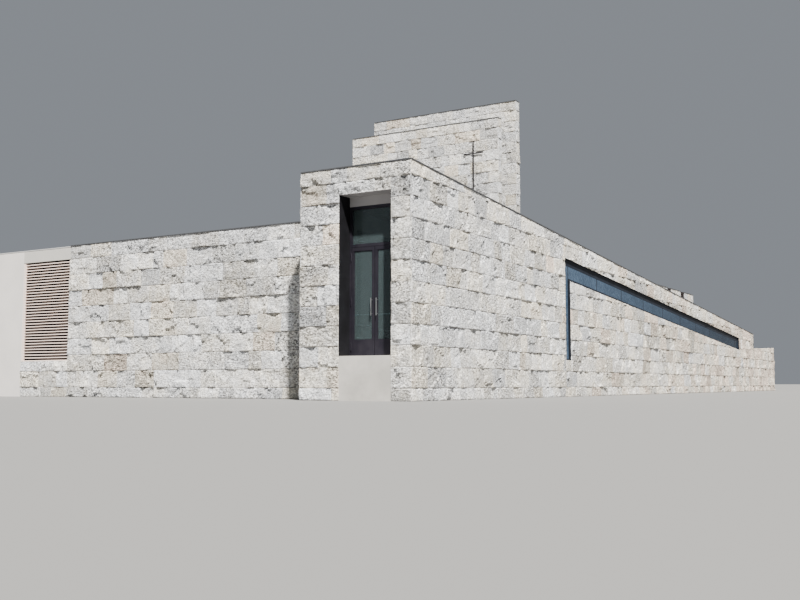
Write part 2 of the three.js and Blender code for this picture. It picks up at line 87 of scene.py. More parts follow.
class Graph:
    """A node tree with short calls that add nodes and join them."""

    def __init__(self, tree: bpy.types.NodeTree) -> None:
        """Keeps the tree that the calls add to."""
        self.tree = tree

    def feed(self, socket: Socket, value: Feed) -> None:
        """Joins a socket to another one, or sets its own value.

        Args:
            socket: the input to fill.
            value: an output, a number or some numbers; None leaves the input as it is.
        """
        if isinstance(value, Socket):
            self.tree.links.new(value, socket)
        elif value is not None:
            socket.default_value = (*value, 1.0) if socket.type == "RGBA" else value

    def add(self, kind: str, *feeds: Feed, **settings: object) -> bpy.types.Node:
        """Adds a node.

        Args:
            kind: Blender's name of the node.
            feeds: what fills the node's live inputs, in their order.
            settings: the node's own options.

        Returns:
            The new node.
        """
        node = self.tree.nodes.new(kind)
        for key, value in settings.items():
            setattr(node, key, value)
        live = [socket for socket in node.inputs if socket.enabled]
        for socket, value in zip(live, feeds):
            self.feed(socket, value)
        return node

    def fill(self, node: bpy.types.Node, **feeds: Feed) -> bpy.types.Node:
        """Fills a node's inputs by name.

        Args:
            node: the node.
            feeds: what fills its inputs, with a low line for a space, such as Base_Color.

        Returns:
            The same node.
        """
        for key, value in feeds.items():
            self.feed(node.inputs[key.replace("_", " ")], value)
        return node

    def math(self, operation: str, *feeds: Feed) -> Socket:
        """The result of a Math node."""
        return self.add("ShaderNodeMath", *feeds, operation=operation).outputs[0]

    def vector(self, operation: str, *feeds: Feed) -> Socket:
        """The vector result of a Vector Math node."""
        return self.add("ShaderNodeVectorMath", *feeds, operation=operation).outputs[0]

    def spread(self, value: Feed, low: float, high: float, first: Feed = 0.0, last: float = 1.0) -> Socket:
        """Maps the values from low to high onto those from first to last, and holds them at the ends."""
        return self.add("ShaderNodeMapRange", value, low, high, first, last).outputs[0]


@dataclass(frozen=True)
class Clouds:
    """Cloudy noise, mostly from 0.25 to 0.75, and the band by which it is spread.

    scale is roughly how many clouds there are in a metre, detail how many finer layers there are,
    roughness how strong these are, and stretch a further scale for each axis.
    """

    scale: float
    detail: float = 4.0
    roughness: float = 0.55
    stretch: Optional[Colour] = None
    band: Band = ()


LAYERS = (0.7, 0.7, 1.5)     # how the mottling of the stone is stretched along its beds
WEAR_BAND = (0.3, 0.7)


class FinishGraph(Graph):
    """The node tree of one finish, around a Principled shader."""

    def __init__(self, name: str) -> None:
        """Starts a finish.

        Args:
            name: its name.
        """
        self.material = bpy.data.materials.new(name)
        self.material.use_nodes = True
        super().__init__(self.material.node_tree)
        self.tree.nodes.clear()
        self.shader = self.add("ShaderNodeBsdfPrincipled")
        self.add("ShaderNodeOutputMaterial", self.shader.outputs[0])
        self.place = self.add("ShaderNodeTexCoord").outputs["Object"]

    def surface(self, colour: Feed, roughness: Feed, normal: Feed = None, **others: Feed) -> None:
        """Fills the shader's inputs, the others by name."""
        self.fill(self.shader, Base_Color=colour, Roughness=roughness, Normal=normal, **others)

    def noise(self, clouds: Clouds) -> Socket:
        """Cloudy noise, spread by its band if it has one.

        Args:
            clouds: its settings.

        Returns:
            The noise.
        """
        place = self.place
        if clouds.stretch:
            place = self.fill(self.add("ShaderNodeMapping", place), Scale=clouds.stretch).outputs[0]
        node = self.add("ShaderNodeTexNoise", place)
        self.fill(node, Scale=clouds.scale, Detail=clouds.detail, Roughness=clouds.roughness)
        return self.spread(node.outputs[0], *clouds.band) if clouds.band else node.outputs[0]

    def cells(self, scale: float) -> Socket:
        """Distance to the nearest of many scattered points, 0 at each point."""
        return self.fill(self.add("ShaderNodeTexVoronoi", self.place), Scale=scale).outputs["Distance"]

    def attribute(self, name: str) -> Socket:
        """A number stored on the mesh."""
        return self.add("ShaderNodeAttribute", attribute_name=name).outputs["Fac"]

    def mix(self, factor: Feed, first: Feed, second: Feed, blend: str = "MIX") -> Socket:
        """A blend of two colours: a factor of 0 gives the first one, and 1 the second one."""
        node = self.add("ShaderNodeMix", factor, first, second, data_type="RGBA", blend_type=blend)
        return next(socket for socket in node.outputs if socket.enabled)

    def ramp(self, factor: Feed, stops: Sequence[tuple[float, Colour]]) -> Socket:
        """A colour from a row of stops.

        Args:
            factor: the place in the row, from 0 to 1.
            stops: the place and the colour of each stop.

        Returns:
            The colour.
        """
        node = self.add("ShaderNodeValToRGB", factor)
        elements = node.color_ramp.elements
        while len(elements) < len(stops):
            elements.new(0.5)
        for element, (place, colour) in zip(elements, stops):
            element.position = place
            element.color = (*colour, 1.0)
        return node.outputs[0]

    def bump(self, height: Feed, distance: float, under: Feed = None) -> Socket:
        """A normal that follows a height, in units of distance, over the normal of a coarser bump."""
        node = self.add("ShaderNodeBump")
        return self.fill(node, Distance=distance, Height=height, Normal=under).outputs[0]


# Finishes

@dataclass(frozen=True)
class Recipe:
    """How a finish is made. Each kind of finish paints its node tree in its own way."""

    name: str

    def build(self) -> Material:
        """Makes the finish.

        Returns:
            Its material.
        """
        graph = FinishGraph(self.name)
        self.paint(graph)
        return graph.material

    def paint(self, graph: FinishGraph) -> None:
        """Fills the node tree."""
        raise NotImplementedError


@dataclass(frozen=True)
class RockLimestone(Recipe):
    """Split limestone blocks: pale, mottled, with open pits. Each block has its own tone and hue. The pits
    are painted dark as shade, shade is painted under the ledges of the beds, and the edges of the blocks
    carry a painted highlight.
    """

    hues: tuple[tuple[float, Colour], ...] = (
        (0.0, (0.81, 0.83, 0.86)),
        (0.3, (0.86, 0.85, 0.82)),
        (0.6, (0.87, 0.82, 0.71)),
        (0.8, (0.83, 0.74, 0.63)),
        (1.0, (0.80, 0.68, 0.58)),
    )
    hue_clouds: Clouds = Clouds(3.4, 4.0, 0.6, band=(0.35, 0.65, -0.15, 0.15))
    tones: Pair = (0.60, 1.11)
    tone_power: float = 0.6
    grain: Clouds = Clouds(23.0, 4.0, 0.8, LAYERS)
    grain_band: Pair = (0.40, 0.57)
    grain_depths: Pair = (0.58, 0.02)
    # Painted highlight on the top edge and the ends of each block: there the speckle stays light and the
    # colour is lifted
    highlight_clean: float = 1.1
    highlight_lift: float = 0.04
    stain: Colour = (0.46, 0.37, 0.27)
    blotches: Clouds = Clouds(7.0, 5.0, 0.66, LAYERS, (0.60, 0.76, 0.0, 0.30))
    # The near-black colour of painted shade, laid in the pits and under the ledges
    painted_shade: Colour = (0.070, 0.062, 0.055)
    pit_shade_share: float = 0.7
    pit_depth: float = 0.014
    vugs: Clouds = Clouds(15.0, 3.0, 0.62, (1.0, 1.0, 1.8), (0.60, 0.67))
    specks: Clouds = Clouds(38.0, 2.0, 0.6, band=(0.59, 0.65))
    chisel: Clouds = Clouds(17.0, 3.0, 0.7)
    chisel_height: float = 0.035
    roughness: float = 0.93
    gloss: float = 0.2

    def paint(self, graph: FinishGraph) -> None:
        """Fills the node tree.

        Args:
            graph: the tree.
        """
        power = graph.math("POWER", graph.attribute("tone"), self.tone_power)
        tone = graph.spread(power, 0.0, 1.0, *self.tones)
        clouds = graph.noise(self.hue_clouds)
        hue = graph.spread(graph.math("ADD", graph.attribute("warmth"), clouds), 0.0, 1.0)
        grain = graph.noise(self.grain)
        depth = graph.spread(graph.attribute("coarse"), 0.0, 1.0, *self.grain_depths)
        speckle = graph.spread(grain, *self.grain_band, depth, 1.0)
        # Painted highlight: the top edge and the ends of each block skip the dark speckle and are lifted a
        # little
        edge_highlight = graph.attribute("edge_highlight")
        speckle = graph.math("MAXIMUM", speckle, graph.math("MULTIPLY", edge_highlight, self.highlight_clean))
        speckle = graph.math("MINIMUM", speckle, 1.0)
        light = graph.math("MULTIPLY_ADD", edge_highlight, self.highlight_lift, speckle)
        light = graph.math("MULTIPLY", tone, light)
        colour = graph.mix(1.0, graph.ramp(hue, self.hues), light, "MULTIPLY")
        colour = graph.mix(graph.noise(self.blotches), colour, self.stain)
        # The pits are real hollows in the bump below; their dark colour is painted shade
        pits = graph.math("MAXIMUM", graph.noise(self.vugs), graph.noise(self.specks))
        colour = graph.mix(graph.math("MULTIPLY", pits, self.pit_shade_share), colour, self.painted_shade)
        # Painted shade under the ledges of the beds, along the blocks' lower edges
        colour = graph.mix(graph.attribute("painted_ledge_shade"), colour, self.painted_shade)
        chisel = graph.bump(graph.noise(self.chisel), self.chisel_height)
        pitted = graph.bump(graph.math("SUBTRACT", grain, pits), self.pit_depth, chisel)
        graph.surface(colour, self.roughness, pitted, Specular_IOR_Level=self.gloss)


@dataclass(frozen=True)
class Grain:
    """A fine relief: its noise, how high it stands in metres, and a coarser relief under it."""

    clouds: Clouds
    height: float
    under: Optional["Grain"] = None

    def normal(self, graph: FinishGraph) -> Socket:
        """The normal that the relief gives."""
        under = self.under.normal(graph) if self.under else None
        return graph.bump(graph.noise(self.clouds), self.height, under)


@dataclass(frozen=True)
class Texture:
    """How a finish of two tones varies.

    Each of the patches lays some of the second tone over the first one, and wear moves the roughness
    down and up by the spread.
    """

    patches: tuple[Clouds, ...]
    grain: Grain
    wear: Optional[Clouds] = None
    spread: Pair = (0.0, 0.0)


@dataclass(frozen=True)
class TwoTone(Recipe):
    """A finish of two tones with a fine relief."""

    first: Colour
    second: Colour
    texture: Texture
    roughness: float
    metallic: float = 0.0
    gloss: float = 0.5

    def paint(self, graph: FinishGraph) -> None:
        """Fills the node tree.

        Args:
            graph: the tree.
        """
        texture = self.texture
        colour: Feed = self.first
        for patches in texture.patches:
            colour = graph.mix(graph.noise(patches), colour, self.second)
        rough: Feed = self.roughness
        if texture.wear:
            ends = (self.roughness + more for more in texture.spread)
            rough = graph.spread(graph.noise(texture.wear), *WEAR_BAND, *ends)
        normal = texture.grain.normal(graph)
        graph.surface(colour, rough, normal, Metallic=self.metallic, Specular_IOR_Level=self.gloss)


BED_SAND = Clouds(90.0, 3.0, 0.7)
RIVEN = Clouds(24.0, 5.0, 0.6)
BRUSHED = Clouds(60.0, 3.0, 0.6, (1.0, 1.0, 0.04))

# Lime mortar that shows in the joints, and the plain inner faces of the walls
LIMED = Texture(
    (Clouds(1.7, 5.0, band=(0.4, 0.65)), replace(BED_SAND, band=(0.5, 0.75, 0.0, 0.35))),
    Grain(BED_SAND, 0.003),
)
# Slate with faint riven streaks
STREAKED = Texture(
    (Clouds(6.0, 6.0, 0.65, (3.0, 0.7, 12.0), (0.35, 0.7)),),
    Grain(RIVEN, 0.002), RIVEN, (0.0, 0.2),
)
# Concrete with fine broom lines across the way in
BROOMED = Texture(
    (Clouds(1.2, 6.0, 0.6, band=(0.35, 0.65)), Clouds(120.0, 2.0, 0.6, band=(0.58, 0.7, 0.0, 0.3))),
    Grain(Clouds(9.0, 3.0, 0.6, (0.6, 22.0, 1.0)), 0.002),
)
# Trowelled render with faint clouds, rain marks and a fine sand grain
TROWELLED = Texture(
    (
        Clouds(1.1, 6.0, 0.6, band=(0.35, 0.68, 0.0, 0.8)),
        Clouds(5.0, 4.0, 0.6, (6.0, 6.0, 0.35), (0.55, 0.75, 0.0, 0.35)),
    ),
    Grain(Clouds(160.0, 3.0, 0.65), 0.0016, Grain(Clouds(3.0, 3.0), 0.004)),
)
# Satin paint on metal, with dust on it and a faint orange-peel
PAINTED = Texture(
    (Clouds(2.2, 5.0, 0.6, (1.0, 1.0, 0.5), (0.4, 0.72, 0.0, 0.55)),),
    Grain(Clouds(210.0, 2.0), 0.0004), Clouds(14.0, 3.0), (-0.06, 0.1),
)
# Anodised or coated metal with a fine brushed sheen
METAL = Texture(
    (Clouds(3.0, 4.0, band=(0.35, 0.7)),), Grain(BRUSHED, 0.0003), BRUSHED, (-0.07, 0.1),
)


@dataclass(frozen=True)
class RoofGravel(Recipe):
    """Pale washed gravel on the roofs, with smaller chips between the stones."""

    light: Colour = (0.52, 0.50, 0.46)
    dark: Colour = (0.25, 0.235, 0.215)
    stones_per_metre: float = 22.0
    chips_per_metre: float = 50.6
    shade: Clouds = Clouds(17.6, 3.0, 0.7, band=(0.35, 0.65))
    gap_shade: Band = (0.45, 0.8, 0.0, 0.75)
    stone_rise: Band = (0.0, 0.8, 1.0, 0.0)
    chip_rise: Band = (0.0, 0.8, 0.3, 0.0)
    height: float = 0.018
    roughness: float = 0.93

    def paint(self, graph: FinishGraph) -> None:
        """Fills the node tree.

        Args:
            graph: the tree.
        """
        stones = graph.cells(self.stones_per_metre)
        chips = graph.spread(graph.cells(self.chips_per_metre), *self.chip_rise)
        colour = graph.mix(graph.noise(self.shade), self.light, self.dark)
        colour = graph.mix(graph.spread(stones, *self.gap_shade), colour, self.dark)
        rise = graph.math("ADD", graph.spread(stones, *self.stone_rise), chips)
        graph.surface(colour, self.roughness, graph.bump(rise, self.height))


@dataclass(frozen=True)
class ClearPane(Recipe):
    """Clear door glass with a breath of dust."""

    tint: Colour = (0.30, 0.40, 0.42)
    dust: Clouds = Clouds(2.5, 4.0, 0.6, band=(0.45, 0.75, 0.01, 0.09))
    clearness: float = 0.92
    bending: float = 1.48

    def paint(self, graph: FinishGraph) -> None:
        """Fills the node tree."""
        dust = graph.noise(self.dust)
        graph.surface(self.tint, dust, Transmission_Weight=self.clearness, IOR=self.bending)


@dataclass(frozen=True)
class SlateBluePane(Recipe):
    """Tinted slot glass: slate blue, clouded, closed to the view, and deeper in tone towards the rear, a
    painted reflection that dims along the wall.
    """

    deep: Colour = (0.030, 0.047, 0.073)
    pale: Colour = (0.050, 0.077, 0.118)
    clouds: Clouds = Clouds(2.6, 6.0, 0.66, (1.0, 0.7, 2.2))
    cloud_band: Pair = (0.3, 0.72)
    flecks: Clouds = Clouds(13.0, 4.0, 0.7)
    fleck_band: Band = (0.4, 0.75, -0.15, 0.4)
    fleck_roughness: Band = (0.3, 0.7, 0.16, 0.34)
    painted_reflection_to_rear: Band = (-11.0, 8.0, 1.0, 0.30)
    ripple: float = 0.002
    gloss: float = 0.08

    def paint(self, graph: FinishGraph) -> None:
        """Fills the node tree.

        Args:
            graph: the tree.
        """
        clouds = graph.noise(self.clouds)
        flecks = graph.noise(self.flecks)
        fine = graph.spread(flecks, *self.fleck_band)
        share = graph.math("ADD", graph.spread(clouds, *self.cloud_band), fine)
        colour = graph.mix(graph.spread(share, 0.0, 1.0), self.deep, self.pale)
        # Painted reflection: the panes darken towards the rear
        to_rear = graph.add("ShaderNodeSeparateXYZ", graph.place).outputs["Y"]
        colour = graph.mix(1.0, colour, graph.spread(to_rear, *self.painted_reflection_to_rear), "MULTIPLY")
        rough = graph.spread(flecks, *self.fleck_roughness)
        graph.surface(colour, rough, graph.bump(clouds, self.ripple), Specular_IOR_Level=self.gloss)


@dataclass(frozen=True)
class StudioFloor(Recipe):
    """The plain pale floor of the stage."""

    colour: Colour = (0.165, 0.165, 0.162)
    roughness: float = 0.95

    def paint(self, graph: FinishGraph) -> None:
        """Fills the node tree."""
        graph.surface(self.colour, self.roughness)


class Finish(Enum):
    """The finishes of the chapel, each with its recipe and the record's material slot that it belongs to.

    The first finish of a slot is the one that the CAD nodes of that slot wear.
    """

    MORTAR = (TwoTone("bed_mortar", (0.60, 0.565, 0.51), (0.47, 0.43, 0.38), LIMED, 0.95), "limestone")
    LIMESTONE = (RockLimestone("rock_limestone"), "limestone")
    SLATE = (
        TwoTone("honed_slate", (0.026, 0.027, 0.030), (0.066, 0.068, 0.074), STREAKED, 0.42),
        "slate",
    )
    CONCRETE = (
        TwoTone("broomed_concrete", (0.46, 0.44, 0.41), (0.33, 0.32, 0.30), BROOMED, 0.86),
        "floor",
    )
    GRAVEL = (RoofGravel("roof_gravel"), "roofing")
    LOUVRE = (TwoTone("louvre_paint", (0.70, 0.57, 0.51), (0.76, 0.66, 0.61), PAINTED, 0.42), "louvre")
    RENDER = (
        TwoTone("smooth_render", (0.435, 0.425, 0.395), (0.38, 0.37, 0.35), TROWELLED, 0.88),
        "render",
    )
    END_RENDER = (
        TwoTone("end_bay_render", (0.60, 0.575, 0.55), (0.52, 0.50, 0.48), TROWELLED, 0.88),
        "render",
    )
    DARK_BOARD = (
        TwoTone("dark_board", (0.010, 0.007, 0.007), (0.016, 0.012, 0.011), PAINTED, 0.7, 0.0, 0.1),
        "dark_panel",
    )
    BRONZE = (
        TwoTone("bronze_metal", (0.022, 0.020, 0.030), (0.040, 0.036, 0.048), METAL, 0.36, 0.65),
        "door_metal",
    )
    SLOT_METAL = (
        TwoTone("slot_metal", (0.004, 0.006, 0.011), (0.008, 0.011, 0.018), METAL, 0.6, 0.0, 0.2),
        "door_metal",
    )
    REVEAL = (
        TwoTone("reveal_metal", (0.004, 0.004, 0.005), (0.008, 0.008, 0.010), METAL, 0.6, 0.0, 0.15),
        "door_metal",
    )
    RUBBER = (
        TwoTone("seal_rubber", (0.006, 0.006, 0.008), (0.012, 0.012, 0.014), PAINTED, 0.8, 0.0, 0.1),
        "door_metal",
    )
    GREY_PANEL = (
        TwoTone("grey_panel", (0.33, 0.32, 0.33), (0.40, 0.385, 0.38), PAINTED, 0.45),
        "head_panel",
    )
    STEEL = (TwoTone("brushed_steel", (0.62, 0.63, 0.64), (0.52, 0.53, 0.54), METAL, 0.3, 1.0), "steel")
    FLASHING = (
        TwoTone("pale_flashing", (0.72, 0.72, 0.72), (0.62, 0.62, 0.62), METAL, 0.45, 0.5),
        "steel",
    )
    CLEAR_GLASS = (ClearPane("clear_pane"), "glass")
    SLOT_GLASS = (SlateBluePane("slate_blue_pane"), "slot_glass")
    CROSS = (
        TwoTone("cross_metal", (0.020, 0.019, 0.021), (0.031, 0.030, 0.032), METAL, 0.6, 0.1, 0.2),
        "cross_metal",
    )
    FLOOR = (StudioFloor("studio_floor"), "")

    def __init__(self, recipe: Recipe, slot: str) -> None:
        """Keeps the recipe and the slot at hand."""
        self.recipe = recipe
        self.slot = slot


SLOT_FINISH = {finish.slot: finish for finish in reversed(Finish)}
NODE_FINISH = {"end_bay_wall": Finish.END_RENDER}


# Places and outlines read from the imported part

def corners(node: str) -> np.ndarray:
    """All the corner points of a CAD node, one row each."""
    return np.array([vertex.co for vertex in frame["nodes"][node].data.vertices], float)


def top_at(node: str, y: float) -> float:
    """Highest point of a CAD node at a distance to the rear."""
    points = corners(node)
    return float(points[np.abs(points[:, 1] - y) < TOUCH, 2].max())


@dataclass(frozen=True)
class Profile:
    """A height along a face, in straight lines. A step has two points at almost one distance."""

    points: tuple[Pair, ...]

    def at(self, u: Union[float, np.ndarray]) -> Union[float, np.ndarray]:
        """The height at one distance or several."""
        return np.interp(u, [p[0] for p in self.points], [p[1] for p in self.points])

    def moved(self, place: Callable[[float], float]) -> "Profile":
        """The same heights at distances that are placed anew."""
        return Profile(tuple(sorted((place(u), z) for u, z in self.points)))

    def steps(self) -> list[float]:
        """The distances at which the height changes at once."""
        pairs = zip(self.points, self.points[1:])
        return [a[0] for a, b in pairs if b[0] - a[0] < TOUCH]


def level(height: float) -> Profile:
    """A profile that stays at one height."""
    return Profile(((0.0, height),))


@dataclass(frozen=True)
class Opening:
    """A hole in a stone face between two distances, below its head and above its sill."""

    first: float
    last: float
    sill: Profile
    head: Profile

    def cuts(self, u0: float, u1: float, z0: float, z1: float) -> bool:
        """Tells whether the hole takes something from a block.

        Args:
            u0: where the block starts.
            u1: where it ends.
            z0: its lower bed.
            z1: its upper bed.

        Returns:
            True where it does.
        """
        a = max(u0, self.first)
        b = min(u1, self.last)
        span = np.linspace(a, b, SOME_PROBES)
        return b - a >= TOUCH and bool((self.sill.at(span) < z1).any() and (self.head.at(span) > z0).any())

    def spans(self, u: np.ndarray, heights: np.ndarray, upper: bool) -> np.ndarray:
        """Tells which points of a block's upper or lower edge lie on the hole's sill or head."""
        line = self.sill if upper else self.head
        return (u > self.first) & (u < self.last) & (np.abs(heights - line.at(u)) < TOUCH)


@dataclass(frozen=True)
class SlotOutline:
    """A slot window by distances to the rear: an upright leg, and a band that falls from it to the rear.

    head is the line over both of them, and foot is the line under the band.
    """

    front: float
    leg_rear: float
    rear: float
    sill: float
    head: Profile
    foot: Profile

    @classmethod
    def of(cls, node: str) -> "SlotOutline":
        """Reads the outline from a pane that fills the slot.

        Args:
            node: the pane's CAD node.

        Returns:
            The outline.
        """
        _, y, z = corners(node).T
        front = float(y.min())
        rear = float(y.max())
        between = (y > front + TOUCH) & (y < rear - TOUCH)
        leg_rear = float(y[between].mean())
        at_front = z[np.abs(y - front) < TOUCH]
        at_rear = z[np.abs(y - rear) < TOUCH]
        head = Profile(((front, float(at_front.max())), (rear, float(at_rear.max()))))
        foot = Profile(((leg_rear, float(z[between].max())), (rear, float(at_rear.min()))))
        return cls(front, leg_rear, rear, float(at_front.min()), head, foot)

    def outline(self) -> list[Pair]:
        """The corners in order, anticlockwise seen with the rear on the right."""
        leg_foot = ((self.front, self.sill), (self.leg_rear, self.sill))
        return [*leg_foot, *self.foot.points, *self.head.points[::-1]]

    def openings(self, place: Callable[[float], float]) -> tuple[Opening, Opening]:
        """The leg and the band as holes.

        Args:
            place: turns a distance to the rear into a distance along the stone face.

        Returns:
            The two holes.
        """
        leg = sorted((place(self.front), place(self.leg_rear)))
        band = sorted((place(self.leg_rear), place(self.rear)))
        head = self.head.moved(place)
        return Opening(*leg, level(self.sill), head), Opening(*band, self.foot.moved(place), head)


# Stones

COURSE = 0.4435          # height of a course
LOWEST_BED = 0.263       # the lowest bed joint above the lowest ground
SHORTEST = 0.34
LONGEST = 0.90
JOINT = 0.006
JOINTS_APART = 0.09      # an upright joint nearer than this to one of the course below moves on
MOVES_ON = 0.14
MARGIN = 0.022           # the narrow edge round each block
SLIVER = 0.13            # a course thinner than this is cut in one with the course below
THINNEST = 0.03
NARROWEST = 0.06
LEAST_HEIGHT = 0.004
CORNER_WRAP = 0.018      # how far both faces stand out at an outer corner, where they meet
SAWN_STANDS = 0.008      # how far a sawn edge stands out, beside an opening or under a coping
BESIDE_SAWN = (0.4, 0.7)     # the share of the relief at the first and the second point from a sawn edge
BEHIND = 0.006           # how far a block's sides reach into the wall
BOTH = (True, True)      # both ends of a face are outer corners
RELIEF_INPUTS = ("proud", "fixed", "wander", "key", "outward")   # what only the relief tree reads

# How many points of an edge share a knot of a ragged row, and the row's least, most and power
KNOT_EVERY = 3
END_STANDS = (0.45, 1.0, 0.7)
TOP_STANDS = (0.3, 1.0, 0.8)
BULGES = (-0.8, 1.0, 1.0)
# The ragged row of painted shade along the lower edges of the blocks, under the ledges
BED_SHADE = (0.0, 1.0, 1.3)

# A base, and what a bulge of the lower edge adds to it
FOOT_STANDS = (0.8, 0.6)
NEXT_STANDS = (1.0, 0.5)
# The next two are painted shade under the ledges: the darkening of the row above a lower edge, and what a
# bulge adds to the darkening along the edge
NEXT_ROW_SHADE = (0.10, 0.22)
BULGE_SHADE = 2.0

EDGE_WANDER = 0.4
# How much painted highlight the upper edge and the ends of each block get
TOP_EDGE_HIGHLIGHT = 0.7
END_HIGHLIGHT = 0.6
WARMTH_SPREAD = 0.23


class Edge(IntEnum):
    """How a block ends. Where two kinds meet at a corner of the block, the higher one wins."""

    SPLIT = 0       # against the next block, ragged
    SAWN = 1        # straight, beside an opening or under a coping
    CORNER = 2      # straight, and out to meet another face


class Side(Enum):
    """The way a wall looks: where its distances run, and what points out of it."""

    FRONT = (X_AXIS, -Y_AXIS)
    RIGHT = (Y_AXIS, X_AXIS)
    REAR = (-X_AXIS, Y_AXIS)
    LEFT = (-Y_AXIS, -X_AXIS)


@dataclass(frozen=True)
class StoneFace:
    """One flat stretch of wall to lay with blocks.

    Distances run along the face from its origin, and heights along rise. bed is the height of any bed
    joint. From rim_from on, the upper edge is an outer corner instead of lying under a coping, and
    rimmed_foot makes the lower edge one. relief is the share of the usual relief, corner is how far an
    outer corner stands out, and cells and warmth are the grid size and the warmth along the face.
    """

    origin: Vector
    along: Vector
    out: Vector
    length: float
    top: Profile
    bottom: Profile = level(0.0)
    openings: tuple[Opening, ...] = ()
    wraps: tuple[bool, bool] = (False, False)
    rim_from: float = math.inf
    rimmed_foot: bool = False
    relief: float = 1.0
    corner: float = CORNER_WRAP
    cells: Profile = level(0.055)
    bed: float = LOWEST_BED
    warmth: Pair = (0.25, 0.25)
    rise: Vector = field(default_factory=lambda: Z_AXIS.copy())

    def courses(self) -> Iterator[Pair]:
        """Divides the face into courses, from the ground up.

        Yields:
            The lower and the upper bed of each course.
        """
        lowest = min(height for _, height in self.bottom.points)
        highest = max(height for _, height in self.top.points)
        course = math.floor((lowest - self.bed) / COURSE)
        while self.bed + course * COURSE < highest - TOUCH:
            yield self.bed + course * COURSE, self.bed + (course + 1) * COURSE
            course += 1

    def long_edge(self, u: np.ndarray, heights: np.ndarray, upper: bool) -> np.ndarray:
        """The kinds of edge along a block's upper or lower edge.

        Args:
            u: the distances of the edge's points.
            heights: their heights.
            upper: True for the upper edge.

        Returns:
            The kind at each point.
        """
        outer = np.abs(heights - (self.top if upper else self.bottom).at(u)) < TOUCH
        rim = outer & ((u > self.rim_from) if upper else self.rimmed_foot)
        sawn = outer & upper
        for hole in self.openings:
            sawn |= hole.spans(u, heights, upper)
        return np.where(rim, Edge.CORNER, np.where(sawn, Edge.SAWN, Edge.SPLIT))

    def side_edge(self, u: float, low: float, high: float) -> Edge:
        """The kind of an upright edge.

        Args:
            u: its distance.
            low: where it starts.
            high: where it ends.

        Returns:
            The kind.
        """
        if u < TOUCH and self.wraps[0] or u > self.length - TOUCH and self.wraps[1]:
            return Edge.CORNER
        for hole in self.openings:
            beside = min(abs(u - hole.first), abs(u - hole.last)) < TOUCH
            if beside and float(hole.sill.at(u)) < high - TOUCH and float(hole.head.at(u)) > low + TOUCH:
                return Edge.SAWN
        return Edge.SPLIT


def upright(side: Side, x: float, y: float, length: float, top: Profile, **others: object) -> StoneFace:
    """An upright stone face that starts at x and y, with its further fields by name."""
    return StoneFace(Vector((x, y, 0.0)), *side.value, length, top, **others)


def front_of(node: str, top: float, **others: object) -> StoneFace:
    """The upright front of a CAD node up to a height, with its further fields by name."""
    low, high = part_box(node)
    return upright(Side.FRONT, low.x, low.y, high.x - low.x, level(top), **others)


def all_round(node: str, cells: dict[Side, float], other: float, **others: object) -> list[StoneFace]:
    """The four upright faces of a plain block or blade.

    Args:
        node: the CAD node.
        cells: the grid size of the sides that are seen most.
        other: the grid size of the others.
        others: the faces' other fields by name.

    Returns:
        The faces: front, right, rear and left.
    """
    low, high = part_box(node)
    width = high.x - low.x
    depth = high.y - low.y
    runs = ((low.x, low.y, width), (high.x, low.y, depth), (high.x, high.y, width), (low.x, high.y, depth))
    return [
        upright(
            side, *run, level(high.z), bottom=level(low.z), wraps=BOTH,
            cells=level(cells.get(side, other)), **others,
        )
        for side, run in zip(Side, runs)
    ]


@dataclass(frozen=True)
class Edges:
    """The kinds of a block's edges: its two ends, and its lower and upper edge point by point."""

    first: Edge
    last: Edge
    lower: np.ndarray
    upper: np.ndarray

    def grid(self, rows: int) -> np.ndarray:
        """The kind at every point of the block's grid.

        Args:
            rows: how many points there are up the block.

        Returns:
            The kinds, by column and row.
        """
        kinds = np.full((len(self.lower), rows), Edge.SPLIT)
        kinds[0, :] = self.first
        kinds[-1, :] = self.last
        kinds[:, 0] = np.maximum(self.lower, kinds[:, 0])
        kinds[:, -1] = np.maximum(self.upper, kinds[:, -1])
        return kinds


@dataclass(frozen=True)
class Block:
    """One block of a face: its two ends, and its lower and upper edge."""

    u0: float
    u1: float
    low: Heights
    high: Heights


